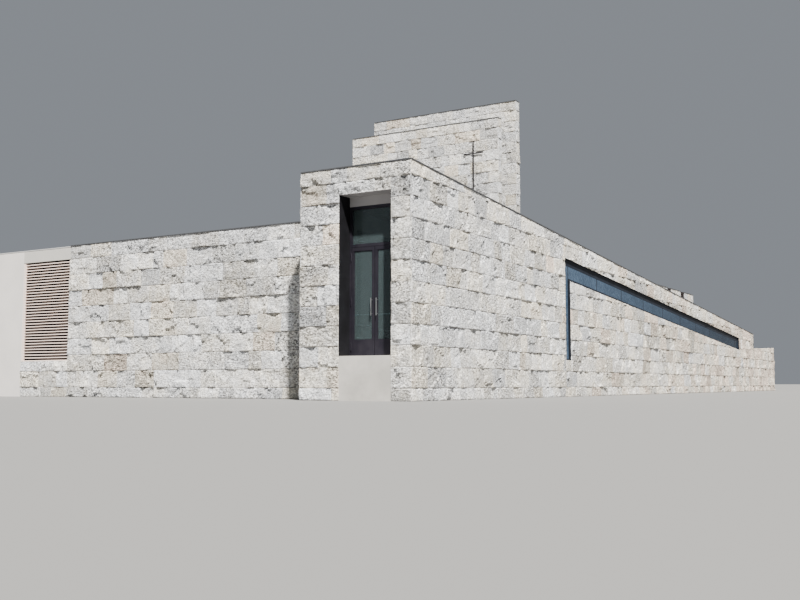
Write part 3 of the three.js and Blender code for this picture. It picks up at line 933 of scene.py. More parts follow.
class Mason:
    """Lays one stone face in courses, with no two upright joints in line."""

    def __init__(self, face: StoneFace, rng: np.random.Generator) -> None:
        """Takes the face and the source of its chance."""
        self.face = face
        self.rng = rng

    def lay(self) -> Iterator[Block]:
        """Lays the face from the ground up.

        Yields:
            Every block of it.
        """
        free = [(0.0, self.face.length)]
        below: list[float] = []
        for z0, z1 in self.face.courses():
            taken: list[Pair] = []
            uprights: list[float] = []
            for start, end in free:
                joints = self.joints(start, end, below)
                uprights += joints[1:-1]
                for u0, u1 in zip(joints, joints[1:]):
                    over = float((self.face.top.at(np.linspace(u0, u1, FEW_PROBES)) - z1).max())
                    capped = 0.0 < over < SLIVER
                    if capped:
                        taken.append((u0, u1))
                    yield from self.cut(u0, u1, z0, math.inf if capped else z1, z1)
            below = uprights
            free = self.left_free(taken)

    def joints(self, start: float, end: float, below: Sequence[float]) -> list[float]:
        """Upright joints between two ends of a course.

        Args:
            start: where the course starts.
            end: where it ends.
            below: the upright joints of the course below.

        Returns:
            The joints in order, both ends included.
        """
        joints = [start]
        while end - joints[-1] > LONGEST:
            length = self.rng.uniform(SHORTEST, LONGEST)
            clash = any(abs(joints[-1] + length - b) < JOINTS_APART for b in below)
            length += MOVES_ON if clash else 0.0
            if end - joints[-1] - length < SHORTEST:
                length = (end - joints[-1]) / 2
            joints.append(joints[-1] + length)
        return joints + [end]

    def left_free(self, taken: Sequence[Pair]) -> list[Pair]:
        """The stretches of the next course that are left beside those that the blocks below take."""
        ends = [0.0, *(u for pair in sorted(taken) for u in pair), self.face.length]
        return [(a, b) for a, b in zip(ends[::2], ends[1::2]) if b - a > TOUCH]

    def cut(self, u0: float, u1: float, z0: float, z1: float, bed: float) -> Iterator[Block]:
        """Cuts a block to the wall's outline and round its openings.

        Args:
            u0: the block's start.
            u1: the block's end.
            z0: its lower bed.
            z1: its upper bed, without limit where it reaches the coping.
            bed: the height by which an opening is judged to touch it.

        Yields:
            What is left of the block.
        """
        face = self.face
        holes = [hole for hole in face.openings if hole.cuts(u0, u1, z0, bed)]
        cuts = face.top.steps() + face.bottom.steps()
        cuts += [u for hole in holes for u in (hole.first, hole.last)]
        ends = sorted({u0, u1, *(u for u in cuts if u0 < u < u1)})
        for a, b in zip(ends, ends[1:]):
            hole = next((h for h in holes if h.first < (a + b) / 2 < h.last), None)
            low = self.held(face.bottom, a, b, np.maximum, z0)
            high = self.held(face.top, a, b, np.minimum, z1)
            if hole is None:
                yield from self.trim(a, b, low, high)
            else:
                yield from self.trim(a, b, low, lambda u, h=hole, z=high: np.minimum(h.sill.at(u), z(u)))
                yield from self.trim(a, b, lambda u, h=hole, z=low: np.maximum(h.head.at(u), z(u)), high)

    def held(self, line: Profile, a: float, b: float, limit: Callable, bed: float) -> Heights:
        """A line between two distances, held at its value just inside them, with a bed as its limit."""
        return lambda u: limit(line.at(np.clip(u, a + INSIDE, b - INSIDE)), bed)

    def trim(self, a: float, b: float, low: Heights, high: Heights) -> Iterator[Block]:
        """Keeps the stretch of a block that has some height.

        Args:
            a: the block's start.
            b: the block's end.
            low: its lower edge.
            high: its upper edge.

        Yields:
            The block, unless too little is left of it.
        """
        span = np.linspace(a, b, MANY_PROBES)
        stands = span[(high(span) - low(span)) > THINNEST]
        if len(stands) and stands[-1] - stands[0] > NARROWEST:
            yield Block(float(stands[0]), float(stands[-1]), low, high)


class StoneMesh:
    """Gathers the grids of many blocks into one mesh, with what the relief tree reads."""

    def __init__(self, seed: int) -> None:
        """Starts an empty mesh.

        Args:
            seed: fixes its source of chance.
        """
        self.rng = np.random.default_rng(seed)
        self.points: list[np.ndarray] = []
        self.quads: list[np.ndarray] = []
        self.values: dict[str, list[np.ndarray]] = {}
        self.count = 0

    def stations(self, width: float, cell: float) -> np.ndarray:
        """Grid lines with a narrow margin at both ends.

        Args:
            width: the width to divide.
            cell: how far apart the lines between the margins are, roughly.

        Returns:
            The distances of the lines.
        """
        margin = min(MARGIN, width / 3)
        inner = np.linspace(margin, width - margin, max(2, round((width - 2 * margin) / cell) + 1))
        return np.concatenate(([0.0], inner, [width]))

    def ragged(self, count: int, low: float, high: float, power: float) -> np.ndarray:
        """Numbers that wander slowly along an edge.

        Args:
            count: how many there are.
            low: the least.
            high: the most.
            power: above 1, most of them stay near the least.

        Returns:
            The numbers.
        """
        knots = self.rng.random(count // KNOT_EVERY + 3) ** power
        places = np.arange(count) / KNOT_EVERY + self.rng.random()
        return low + (high - low) * np.interp(places, np.arange(len(knots)), knots)

    def add_face(self, face: StoneFace, first: float = 0.0, last: float = math.inf) -> None:
        """Lays a face and adds its blocks.

        Args:
            face: the face.
            first: only the blocks whose middle lies past this distance are kept.
            last: and only those before this one.
        """
        for block in Mason(face, self.rng).lay():
            if first <= (block.u0 + block.u1) / 2 < last:
                self.add_block(face, block)

    def add_block(self, face: StoneFace, block: Block) -> None:
        """Adds one block: its front as a grid, and its sides back into the wall.

        Args:
            face: the face that it belongs to.
            block: the block.
        """
        middle = np.array([(block.u0 + block.u1) / 2])
        reach = (float(block.low(middle)[0]), float(block.high(middle)[0]))
        ends = [face.side_edge(u, *reach) for u in (block.u0, block.u1)]
        back = [-face.corner if end is Edge.CORNER else JOINT / 2 for end in ends]
        start = block.u0 + back[0]
        end = block.u1 - back[1]
        cell = float(face.cells.at((start + end) / 2))
        across = start + self.stations(end - start, cell)
        inside = np.clip(across, block.u0 + INSIDE, block.u1 - INSIDE)
        low = block.low(inside)
        high = block.high(inside)
        edges = Edges(*ends, face.long_edge(inside, low, False), face.long_edge(inside, high, True))
        low = low + np.where(edges.lower == Edge.CORNER, -face.corner, JOINT / 2)
        high = high + np.where(edges.upper == Edge.CORNER, face.corner, -JOINT / 2)
        high = np.maximum(high, low + LEAST_HEIGHT)
        height = float((high - low).mean())
        up = self.stations(height, cell) / height
        heights = low[:, None] + (high - low)[:, None] * up[None, :]
        grid = (
            np.array(face.origin)[None, None, :]
            + across[:, None, None] * np.array(face.along)[None, None, :]
            + heights[:, :, None] * np.array(face.rise)[None, None, :]
        )
        warmth = face.warmth[0] + (face.warmth[1] - face.warmth[0]) * float(middle[0]) / face.length
        self.add_grid(grid, face, warmth, edges)

    def prouds(self, columns: int, rows: int, edges: Edges) -> tuple[np.ndarray, np.ndarray]:
        """How far each point of a block stands out, as a share of its relief.

        The split face runs on to the edges. The lower edge bulges in some stretches and the upper edge is
        chipped back in others, which breaks up the shadows along the beds. Next to a sawn edge the face
        stays back.

        Args:
            columns: how many points there are along the block.
            rows: how many there are up the block.
            edges: the kinds of its edges.

        Returns:
            The shares, by column and row, and how far the lower edge bulges, by column.
        """
        proud = np.ones((columns, rows))
        proud[0, :] = self.ragged(rows, *END_STANDS)
        proud[-1, :] = self.ragged(rows, *END_STANDS)
        proud[:, -1] = self.ragged(columns, *TOP_STANDS)
        bulge = np.clip(self.ragged(columns, *BULGES), 0.0, 1.0)
        bulge = np.where(edges.lower == Edge.SPLIT, bulge, 0.0)
        proud[:, 0] = FOOT_STANDS[0] + FOOT_STANDS[1] * bulge
        proud[:, 1] = NEXT_STANDS[0] + NEXT_STANDS[1] * bulge
        for step, share in enumerate(BESIDE_SAWN, 1):
            if step < rows - 1:
                proud[:, step] *= np.where(edges.lower == Edge.SAWN, share, 1.0)
                proud[:, -1 - step] *= np.where(edges.upper == Edge.SAWN, share, 1.0)
            if step < columns - 1:
                proud[step, :] *= share if edges.first is Edge.SAWN else 1.0
                proud[-1 - step, :] *= share if edges.last is Edge.SAWN else 1.0
        return proud, bulge

    def add_grid(self, grid: np.ndarray, face: StoneFace, warmth: float, edges: Edges) -> None:
        """Adds a grid of points as a block.

        Args:
            grid: the points, by distance and then by height.
            face: the face that it belongs to.
            warmth: the mean warmth of the stones there.
            edges: the kinds of its edges.
        """
        columns, rows = grid.shape[:2]
        proud, bulge = self.prouds(columns, rows, edges)
        kinds = edges.grid(rows)
        straight = kinds > Edge.SPLIT
        wander = np.full((columns, rows), EDGE_WANDER)
        wander[1:-1, 1:-1] = 1.0
        edge_highlight = np.zeros((columns, rows))
        edge_highlight[:, -1] = TOP_EDGE_HIGHLIGHT
        edge_highlight[[0, -1], :] = END_HIGHLIGHT
        # Painted shade along the lower edge and on the row above it, darkest under a bulging ledge
        bed_shade = np.minimum(self.ragged(columns, *BED_SHADE) + BULGE_SHADE * bulge, 1.0)
        painted_ledge_shade = np.zeros((columns, rows))
        painted_ledge_shade[:, 0] = np.where(edges.lower == Edge.SPLIT, bed_shade, 0.0)
        painted_ledge_shade[:, 1] = NEXT_ROW_SHADE[0] + NEXT_ROW_SHADE[1] * bulge
        shares = {
            "proud": np.where(straight, 0.0, proud * face.relief),
            "fixed": np.choose(kinds, [0.0, SAWN_STANDS, face.corner]),
            "wander": np.where(straight, 0.0, wander),
            "edge_highlight": edge_highlight,
            "painted_ledge_shade": painted_ledge_shade,
        }
        number = np.arange(columns * rows).reshape(columns, rows)
        loop = np.concatenate([number[:, 0], number[-1, 1:], number[-2::-1, -1], number[0, -2:0:-1]])
        base = columns * rows + np.arange(len(loop))
        front = [number[:-1, :-1], number[1:, :-1], number[1:, 1:], number[:-1, 1:]]
        sides = [np.roll(loop, -1), loop, base, np.roll(base, -1)]
        quads = np.concatenate([np.stack(front, -1).reshape(-1, 4), np.stack(sides, -1)])
        if face.along.cross(face.rise).dot(face.out) < 0.0:
            quads = quads[:, ::-1]
        flat = grid.reshape(-1, 3)
        out = np.array(face.out)
        points = np.concatenate([flat, flat[loop] - out * BEHIND])
        warm = float(np.clip(warmth + self.rng.normal(0.0, WARMTH_SPREAD), 0.0, 1.0))
        values = {name: np.append(value, np.zeros(len(loop))) for name, value in shares.items()}
        for name in ("key", "tone", "coarse"):
            values[name] = np.full(len(points), self.rng.random())
        values["warmth"] = np.full(len(points), warm)
        values["outward"] = np.tile(out, (len(points), 1))
        for name, value in values.items():
            self.values.setdefault(name, []).append(value)
        self.points.append(points)
        self.quads.append(quads + self.count)
        self.count += len(points)

    def build(self, name: str) -> bpy.types.Mesh:
        """Makes the flat mesh with its attributes.

        Args:
            name: the mesh's name.

        Returns:
            The mesh.
        """
        quads = np.concatenate(self.quads)
        mesh = bpy.data.meshes.new(name)
        mesh.vertices.add(self.count)
        mesh.vertices.foreach_set("co", np.concatenate(self.points).astype(np.float32).ravel())
        mesh.loops.add(quads.size)
        mesh.loops.foreach_set("vertex_index", quads.astype(np.int32).ravel())
        mesh.polygons.add(len(quads))
        mesh.polygons.foreach_set("loop_start", np.arange(0, quads.size, 4, dtype=np.int32))
        mesh.update(calc_edges=True)
        mesh.shade_flat()
        for key, parts in self.values.items():
            value = np.concatenate(parts).astype(np.float32)
            kind, slot = ("FLOAT", "value") if value.ndim == 1 else ("FLOAT_VECTOR", "vector")
            mesh.attributes.new(key, kind, "POINT").data.foreach_set(slot, value.ravel())
        return mesh


# Geometry node trees

SOCKET_KINDS = {float: "NodeSocketFloat", int: "NodeSocketInt", tuple: "NodeSocketVector"}
HALVES = (0.5, 0.5, 0.5)
SALT = 61.0                      # how far apart the noise of two blocks is read
SALT_WAY = (1.0, 0.37, 0.71)     # and in which direction
LEAST_RELIEF = 0.003
RELIEF_DETAIL = 2.0


class GeometryGraph(Graph):
    """A geometry node tree with named inputs, which ends in Realize Instances and Set Material."""

    def __init__(self, name: str, inputs: dict[str, Feed]) -> None:
        """Makes the tree and its inputs.

        Args:
            name: the tree's name.
            inputs: each input's first value, which gives its kind too.
        """
        super().__init__(bpy.data.node_groups.new(name, "GeometryNodeTree"))
        sockets = self.tree.interface.new_socket
        sockets(name="Geometry", in_out="INPUT", socket_type="NodeSocketGeometry")
        for key, value in inputs.items():
            sockets(name=key, in_out="INPUT", socket_type=SOCKET_KINDS[type(value)]).default_value = value
        sockets(name="Finish", in_out="INPUT", socket_type="NodeSocketMaterial")
        sockets(name="Geometry", in_out="OUTPUT", socket_type="NodeSocketGeometry")
        self.inputs = self.add("NodeGroupInput").outputs

    def end(self, geometry: Socket) -> bpy.types.NodeTree:
        """Ends the tree.

        Args:
            geometry: what it has made so far.

        Returns:
            The tree.
        """
        realized = self.add("GeometryNodeRealizeInstances", geometry).outputs[0]
        dressed = self.fill(self.add("GeometryNodeSetMaterial", realized), Material=self.inputs["Finish"])
        self.feed(self.add("NodeGroupOutput").inputs[0], dressed.outputs[0])
        return self.tree

    def stored(self, name: str, kind: str = "FLOAT") -> Socket:
        """A value stored on the mesh."""
        node = self.add("GeometryNodeInputNamedAttribute", data_type=kind)
        return self.fill(node, Name=name).outputs["Attribute"]


def split_face_tree() -> bpy.types.NodeTree:
    """Pushes flat blocks out into split faces: broken facets with waves over them, and straying edges.

    Returns:
        The tree.
    """
    graph = GeometryGraph("split_face", {
        "Lift": 0.026,
        "Lift Spread": 0.024,
        "Most": 0.065,
        "Facet Scale": 2.4,
        "Facet Tilt": 0.22,
        "Wave Scale": 5.0,
        "Wave Height": 0.025,
        "Chip Scale": 15.0,
        "Chip Height": 0.014,
        "Wander": 0.012,
        "Seed": 1.0,
    })
    given = graph.inputs
    out = graph.stored("outward", "FLOAT_VECTOR")
    place = graph.add("GeometryNodeInputPosition").outputs[0]
    salt = graph.math("MULTIPLY_ADD", graph.stored("key"), SALT, given["Seed"])
    spot = graph.vector("ADD", place, graph.vector("MULTIPLY", SALT_WAY, salt))
    facet = graph.fill(graph.add("ShaderNodeTexVoronoi"), Vector=spot, Scale=given["Facet Scale"])
    wave, chip = (
        graph.fill(graph.add("ShaderNodeTexNoise"), Vector=spot, Scale=given[size], Detail=RELIEF_DETAIL)
        for size in ("Wave Scale", "Chip Scale")
    )
    lean = graph.vector("SUBTRACT", facet.outputs["Color"], HALVES)
    centre = graph.vector("SUBTRACT", spot, facet.outputs["Position"])
    tilt = graph.add("ShaderNodeVectorMath", centre, lean, operation="DOT_PRODUCT").outputs["Value"]
    height = given["Lift"]
    for share, size in (
        (graph.math("SUBTRACT", graph.stored("key"), 0.5), "Lift Spread"),
        (tilt, "Facet Tilt"),
        (graph.math("SUBTRACT", wave.outputs[0], 0.5), "Wave Height"),
        (graph.math("SUBTRACT", chip.outputs[0], 0.5), "Chip Height"),
    ):
        height = graph.math("MULTIPLY_ADD", share, given[size], height)
    height = graph.math("MULTIPLY", graph.math("MAXIMUM", height, LEAST_RELIEF), graph.stored("proud"))
    height = graph.math("ADD", graph.math("MINIMUM", height, given["Most"]), graph.stored("fixed"))
    reach = graph.math("MULTIPLY", graph.stored("wander"), given["Wander"])
    stray = graph.vector("SCALE", graph.vector("SUBTRACT", chip.outputs[1], HALVES), reach)
    across = graph.vector("SUBTRACT", stray, graph.vector("PROJECT", stray, out))
    offset = graph.vector("ADD", graph.vector("SCALE", out, height), across)
    moved = graph.fill(graph.add("GeometryNodeSetPosition", given["Geometry"]), Offset=offset)
    return graph.end(moved.outputs[0])


def bar_row_tree() -> bpy.types.NodeTree:
    """A row of equal bars or slabs.

    Each bar has a size and a tilt of its own, the bars follow each other by a step, and the whole row is
    turned and set at its start.

    Returns:
        The tree.
    """
    graph = GeometryGraph("bar_row", {
        "Count": 4,
        "Step": (1.0, 0.0, 0.0),
        "Size": (0.9, 0.4, 0.03),
        "Tilt": (0.0, 0.0, 0.0),
        "Start": (0.0, 0.0, 0.0),
        "Turn": (0.0, 0.0, 0.0),
    })
    given = graph.inputs
    line = graph.fill(graph.add("GeometryNodeMeshLine"), Count=given["Count"], Offset=given["Step"])
    bar = graph.add("GeometryNodeMeshCube", given["Size"])
    row = graph.fill(
        graph.add("GeometryNodeInstanceOnPoints"),
        Points=line.outputs[0], Instance=bar.outputs[0], Rotation=given["Tilt"],
    )
    placed = graph.add("GeometryNodeTransform", row.outputs[0])
    graph.fill(placed, Translation=given["Start"], Rotation=given["Turn"])
    return graph.end(placed.outputs[0])


# Shapes and pieces

@dataclass(frozen=True)
class Shape:
    """A closed shape: its points, and its faces turned outwards."""

    points: list[tuple[float, float, float]]
    faces: list[list[int]]


BOX_FACES = [[0, 2, 3, 1], [4, 5, 7, 6], [0, 1, 5, 4], [2, 6, 7, 3], [0, 4, 6, 2], [1, 3, 7, 5]]


def box_shape(low: Sequence[float], high: Sequence[float]) -> Shape:
    """A box between two corners."""
    points = [(x, y, z) for z in (low[2], high[2]) for y in (low[1], high[1]) for x in (low[0], high[0])]
    return Shape(points, BOX_FACES)


def plate_shape(outline: Outline, place: Place, depths: Pair) -> Shape:
    """A flat plate with a given outline.

    Args:
        outline: the corners, anticlockwise seen from the near depth.
        place: turns two outline numbers and a depth into a point.
        depths: the near and the far depth.

    Returns:
        The plate.
    """
    count = len(outline)
    points = [place(u, v, depth) for depth in depths for u, v in outline]
    faces = [list(range(count)), [count + i for i in reversed(range(count))]]
    faces += [[i, i + count, (i + 1) % count + count, (i + 1) % count] for i in range(count)]
    return Shape(points, faces)


def inset_outline(outline: Outline, inset: float) -> list[Pair]:
    """Moves every side of an anticlockwise outline inwards.

    Args:
        outline: the corners.
        inset: how far each side moves.

    Returns:
        The new corners.
    """
    corners_in = []
    for i, corner in enumerate(outline):
        here = np.array(corner, float)
        before = here - np.array(outline[i - 1], float)
        after = np.array(outline[(i + 1) % len(outline)], float) - here
        first = before / np.linalg.norm(before)
        second = after / np.linalg.norm(after)
        inward = np.array((-first[1], first[0])) + np.array((-second[1], second[0]))
        inward /= 1.0 + float(first @ second)
        corners_in.append(tuple(here + inward * inset))
    return corners_in


def ring_shape(outline: Outline, inset: float, place: Place, depths: Pair) -> Shape:
    """A closed frame that follows an outline.

    Args:
        outline: the outer corners, anticlockwise seen from the near depth.
        inset: the frame's width.
        place: turns two outline numbers and a depth into a point.
        depths: the near and the far depth.

    Returns:
        The frame.
    """
    inner = inset_outline(outline, inset)
    rings = [(outline, depths[0]), (inner, depths[0]), (inner, depths[1]), (outline, depths[1])]
    points = [place(u, v, depth) for ring, depth in rings for u, v in ring]
    count = len(outline)
    total = len(points)
    faces = []
    for ring in range(0, total, count):
        for i in range(count):
            j = (i + 1) % count
            faces.append([ring + i, ring + j, (ring + count) % total + j, (ring + count) % total + i])
    return Shape(points, faces)


class Workshop:
    """Makes pieces, gives them their finish, and lets them ride on the frame."""

    def __init__(self) -> None:
        """Makes the trees that the pieces share."""
        self.made: dict[Finish, Material] = {}
        self.split_face = split_face_tree()
        self.bar_row = bar_row_tree()

    def material(self, finish: Finish) -> Material:
        """Makes a finish the first time that it is asked for.

        Args:
            finish: the finish.

        Returns:
            Its material.
        """
        if finish not in self.made:
            self.made[finish] = finish.recipe.build()
        return self.made[finish]

    def link(self, name: str, mesh: bpy.types.Mesh) -> bpy.types.Object:
        """Puts a mesh into the scene, at the origin.

        Args:
            name: the object's name.
            mesh: the mesh.

        Returns:
            The object.
        """
        piece = bpy.data.objects.new(name, mesh)
        bpy.context.scene.collection.objects.link(piece)
        return piece

    def grow(self, piece: bpy.types.Object, tree: bpy.types.NodeTree, values: dict[str, object]) -> None:
        """Puts a geometry tree on a piece.

        Args:
            piece: the piece.
            tree: the tree.
            values: what its inputs hold, by name.
        """
        modifier = piece.modifiers.new("grown", "NODES")
        modifier.node_group = tree
        for item in tree.interface.items_tree:
            if item.item_type == "SOCKET" and item.in_out == "INPUT" and item.name in values:
                modifier[item.identifier] = values[item.name]

    def bake(self, piece: bpy.types.Object) -> None:
        """Turns what the modifiers make into the piece's own plain mesh.

        Args:
            piece: the piece.
        """
        graph = bpy.context.evaluated_depsgraph_get()
        made = bpy.data.meshes.new_from_object(piece.evaluated_get(graph), depsgraph=graph)
        old = piece.data
        piece.modifiers.clear()
        piece.data = made
        bpy.data.meshes.remove(old)
        made.name = piece.name
        for key in set(RELIEF_INPUTS) & set(made.attributes.keys()):
            made.attributes.remove(made.attributes[key])

    def make(
        self,
        name: str,
        finish: Finish,
        mesh: bpy.types.Mesh,
        tree: Optional[bpy.types.NodeTree] = None,
        values: Optional[dict[str, object]] = None,
        body: str = BUILDING,
        bevel: float = 0.0,
        replaces: Sequence[str] = (),
    ) -> None:
        """Makes a piece and lets it ride on a body.

        Args:
            name: its name.
            finish: its finish, which belongs to a material slot of the record.
            mesh: its mesh, or what its tree starts from.
            tree: a geometry tree that makes its shape.
            values: the tree's inputs by name.
            body: the CAD body that carries it.
            bevel: the width of its eased edges.
            replaces: the CAD nodes that it stands for.
        """
        piece = self.link(name, mesh)
        if tree:
            self.grow(piece, tree, {**values, "Finish": self.material(finish)})
        else:
            mesh.materials.append(self.material(finish))
        if bevel:
            eased = piece.modifiers.new("eased_edges", "BEVEL")
            eased.width = bevel
            eased.segments = 2
            eased.limit_method = "ANGLE"
        if piece.modifiers:
            self.bake(piece)
        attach(piece, body)
        if replaces:
            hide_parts(*replaces)
        LOG.info("%s: %d faces", piece.name, len(piece.data.polygons))

    def stones(
        self, name: str, faces: Sequence[StoneFace], seed: int, first: float = 0.0, last: float = math.inf,
    ) -> None:
        """Lays faces with split blocks, as one piece.

        Args:
            name: the piece's name.
            faces: the faces.
            seed: fixes the sizes and the relief of its blocks.
            first: the piece takes only the blocks past this distance along their face.
            last: and only those before this one.
        """
        gathered = StoneMesh(seed)
        for face in faces:
            gathered.add_face(face, first, last)
        self.make(name, Finish.LIMESTONE, gathered.build(name), self.split_face, {"Seed": float(seed)})

    def bars(self, name: str, finish: Finish, row: dict[str, object], **others: object) -> None:
        """Makes a row of equal bars as one piece, from the row tree's inputs by name."""
        self.make(name, finish, bpy.data.meshes.new(name), self.bar_row, row, **others)

    def solid(self, name: str, finish: Finish, shapes: Sequence[Shape], **others: object) -> None:
        """Makes a piece of closed shapes.

        Args:
            name: its name.
            finish: its finish.
            shapes: the shapes.
            others: what else a piece takes, by name.
        """
        points: list[Sequence[float]] = []
        faces: list[list[int]] = []
        for shape in shapes:
            faces += [[len(points) + i for i in face] for face in shape.faces]
            points += shape.points
        mesh = bpy.data.meshes.new(name)
        mesh.from_pydata(points, [], faces)
        self.make(name, finish, mesh, **others)


# The sub-assemblies

@dataclass
class Part:
    """A sub-assembly, with the workshop that makes its pieces."""

    workshop: Workshop

    def build(self) -> None:
        """Makes the pieces."""
        raise NotImplementedError


@dataclass
class LongSide(Part):
    """The long wall that falls to the rear, with the low wall beyond it."""

    cells: Profile = Profile(((0.0, 0.042), (12.0, 0.052), (34.0, 0.075)))
    end_cell: float = 0.07
    hidden_cell: float = 0.09
    warmth: Pair = (0.22, 0.88)
    end_warmth: Pair = (0.9, 0.9)
    cap_relief: float = 0.35
    split: float = 13.0

    def build(self) -> None:
        """Lays the stones of the long side."""
        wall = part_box("long_wall")[1]
        low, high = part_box("low_end_wall")
        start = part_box("portal_right_pier")[0].y
        rear = wall.y - start
        end = high.y - start
        top = Profile((
            (0.0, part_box("portal_lintel")[1].z),
            (rear, top_at("long_wall", wall.y)),
            (rear + STEP, top_at("low_end_wall", low.y)),
            (end, top_at("low_end_wall", high.y)),
        ))
        slot = SlotOutline.of("long_wall_slot_glass")
        main = upright(
            Side.RIGHT, wall.x, start, end, top, wraps=BOTH, rim_from=rear, cells=self.cells,
            warmth=self.warmth, openings=slot.openings(lambda y: y - start),
        )
        self.workshop.stones("long_side_front_stones", [main], seed=11, last=self.split)
        self.workshop.stones("long_side_rear_stones", [main], seed=11, first=self.split)
        self.workshop.stones("low_end_stones", self.low_end_faces(), seed=12)

    def low_end_faces(self) -> list[StoneFace]:
        """The end, the inner side and the top of the low wall.

        Returns:
            Their faces.
        """
        low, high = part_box("low_end_wall")
        front_top = top_at("low_end_wall", low.y)
        rear_top = top_at("low_end_wall", high.y)
        width = high.x - low.x
        length = high.y - low.y
        slope = Vector((0.0, length, rear_top - front_top))
        along = slope.normalized()
        inner_top = Profile(((0.0, rear_top), (length, front_top)))
        seen = {"rim_from": 0.0, "warmth": self.end_warmth, "cells": level(self.end_cell)}
        hidden = {**seen, "cells": level(self.hidden_cell)}
        return [
            upright(Side.REAR, high.x, high.y, width, level(rear_top), wraps=BOTH, **seen),
            upright(Side.LEFT, low.x, high.y, length, inner_top, wraps=(True, False), **hidden),
            StoneFace(
                Vector((high.x, low.y, front_top)), along, along.cross(-X_AXIS), slope.length,
                level(width), wraps=(False, True), rimmed_foot=True, relief=self.cap_relief, bed=0.0,
                rise=-X_AXIS, **seen,
            ),
        ]


@dataclass
class HiddenSides(Part):
    """The long side away from the view, with its own slot window, and the rear wall."""

    cell: float = 0.085

    def build(self) -> None:
        """Lays the stones of the west side and of the rear."""
        self.workshop.stones("west_wall_stones", self.west_faces(), seed=21)
        self.workshop.stones("rear_wall_stones", self.rear_faces(), seed=22)

    def west_faces(self) -> list[StoneFace]:
        """The west side and the narrow front end of its wall.

        Returns:
            Their faces.
        """
        low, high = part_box("west_wall")
        length = high.y - low.y
        step = high.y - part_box("nave_upstand")[0].y
        wing_top = top_at("west_wall", low.y)
        rear_top = top_at("west_wall", high.y)
        top = Profile(((0.0, rear_top), (step, high.z), (step + STEP, wing_top), (length, wing_top)))
        holes = SlotOutline.of("west_wall_slot_glass").openings(lambda y: high.y - y)
        cells = level(self.cell)
        return [
            upright(Side.LEFT, low.x, high.y, length, top, openings=holes, wraps=BOTH, cells=cells),
            front_of("west_wall", wing_top, wraps=(True, False), cells=cells),
        ]

    def rear_faces(self) -> list[StoneFace]:
        """The rear wall, and the stretch of it above the low wall.

        Returns:
            Their faces.
        """
        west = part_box("west_wall")[0].x
        low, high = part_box("long_wall")
        foot = level(top_at("low_end_wall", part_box("low_end_wall")[0].y))
        both = {"top": level(top_at("rear_wall", high.y)), "cells": level(self.cell)}
        return [
            upright(Side.REAR, low.x, high.y, low.x - west, wraps=(False, True), **both),
            upright(Side.REAR, high.x, high.y, high.x - low.x, bottom=foot, wraps=(True, False), **both),
        ]


@dataclass
class EntranceBlock(Part):
    """The tall block round the recessed doors."""

    cell: float = 0.05
    lining: float = 0.004
    lip: float = 0.012
    below_all: float = -1.0

    def build(self) -> None:
        """Lays the block's stones and lines its recess."""
        self.workshop.stones("entrance_stones", self.faces(), seed=31)
        self.line_recess()

    def faces(self) -> list[StoneFace]:
        """The front with its doorway, and the left side.

        Returns:
            Their faces.
        """
        low, left_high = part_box("portal_left_pier")
        right_low, right_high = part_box("portal_right_pier")
        lintel_low, lintel_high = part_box("portal_lintel")
        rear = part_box("nave_upstand")[0].y
        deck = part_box("hall_upstand")[0].z
        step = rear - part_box("wing_wall")[0].y
        length = rear - low.y
        doorway = Opening(
            left_high.x - low.x, right_low.x - low.x, level(self.below_all), level(lintel_low.z),
        )
        side_top = Profile(((0.0, top_at("nave_upstand", rear)), (length, lintel_high.z)))
        side_foot = Profile(((0.0, deck), (step, deck), (step + STEP, 0.0)))
        cells = level(self.cell)
        return [
            upright(
                Side.FRONT, low.x, low.y, right_high.x - low.x, level(lintel_high.z), wraps=BOTH,
                openings=(doorway,), cells=cells,
            ),
            upright(
                Side.LEFT, low.x, rear, length, side_top, wraps=(False, True),
                bottom=side_foot, cells=cells,
            ),
        ]

    def line_recess(self) -> None:
        """Thin metal panels on both sides of the recess and under its head."""
        low, left_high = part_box("portal_left_pier")
        left = left_high.x
        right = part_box("portal_right_pier")[0].x
        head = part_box("portal_lintel")[0].z
        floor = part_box("doorstep")[1].z
        front = low.y - self.lip
        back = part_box("head_panel")[0].y
        sides = [
            box_shape((left, front, floor), (left + self.lining, back, head)),
            box_shape((right - self.lining, front, floor), (right, back, head)),
        ]
        soffit = box_shape(
            (left + self.lining, front, head - self.lining),
            (right - self.lining, back, head),
        )
        self.workshop.solid("recess_side_lining", Finish.REVEAL, sides)
        self.workshop.solid("recess_soffit", Finish.GREY_PANEL, [soffit])


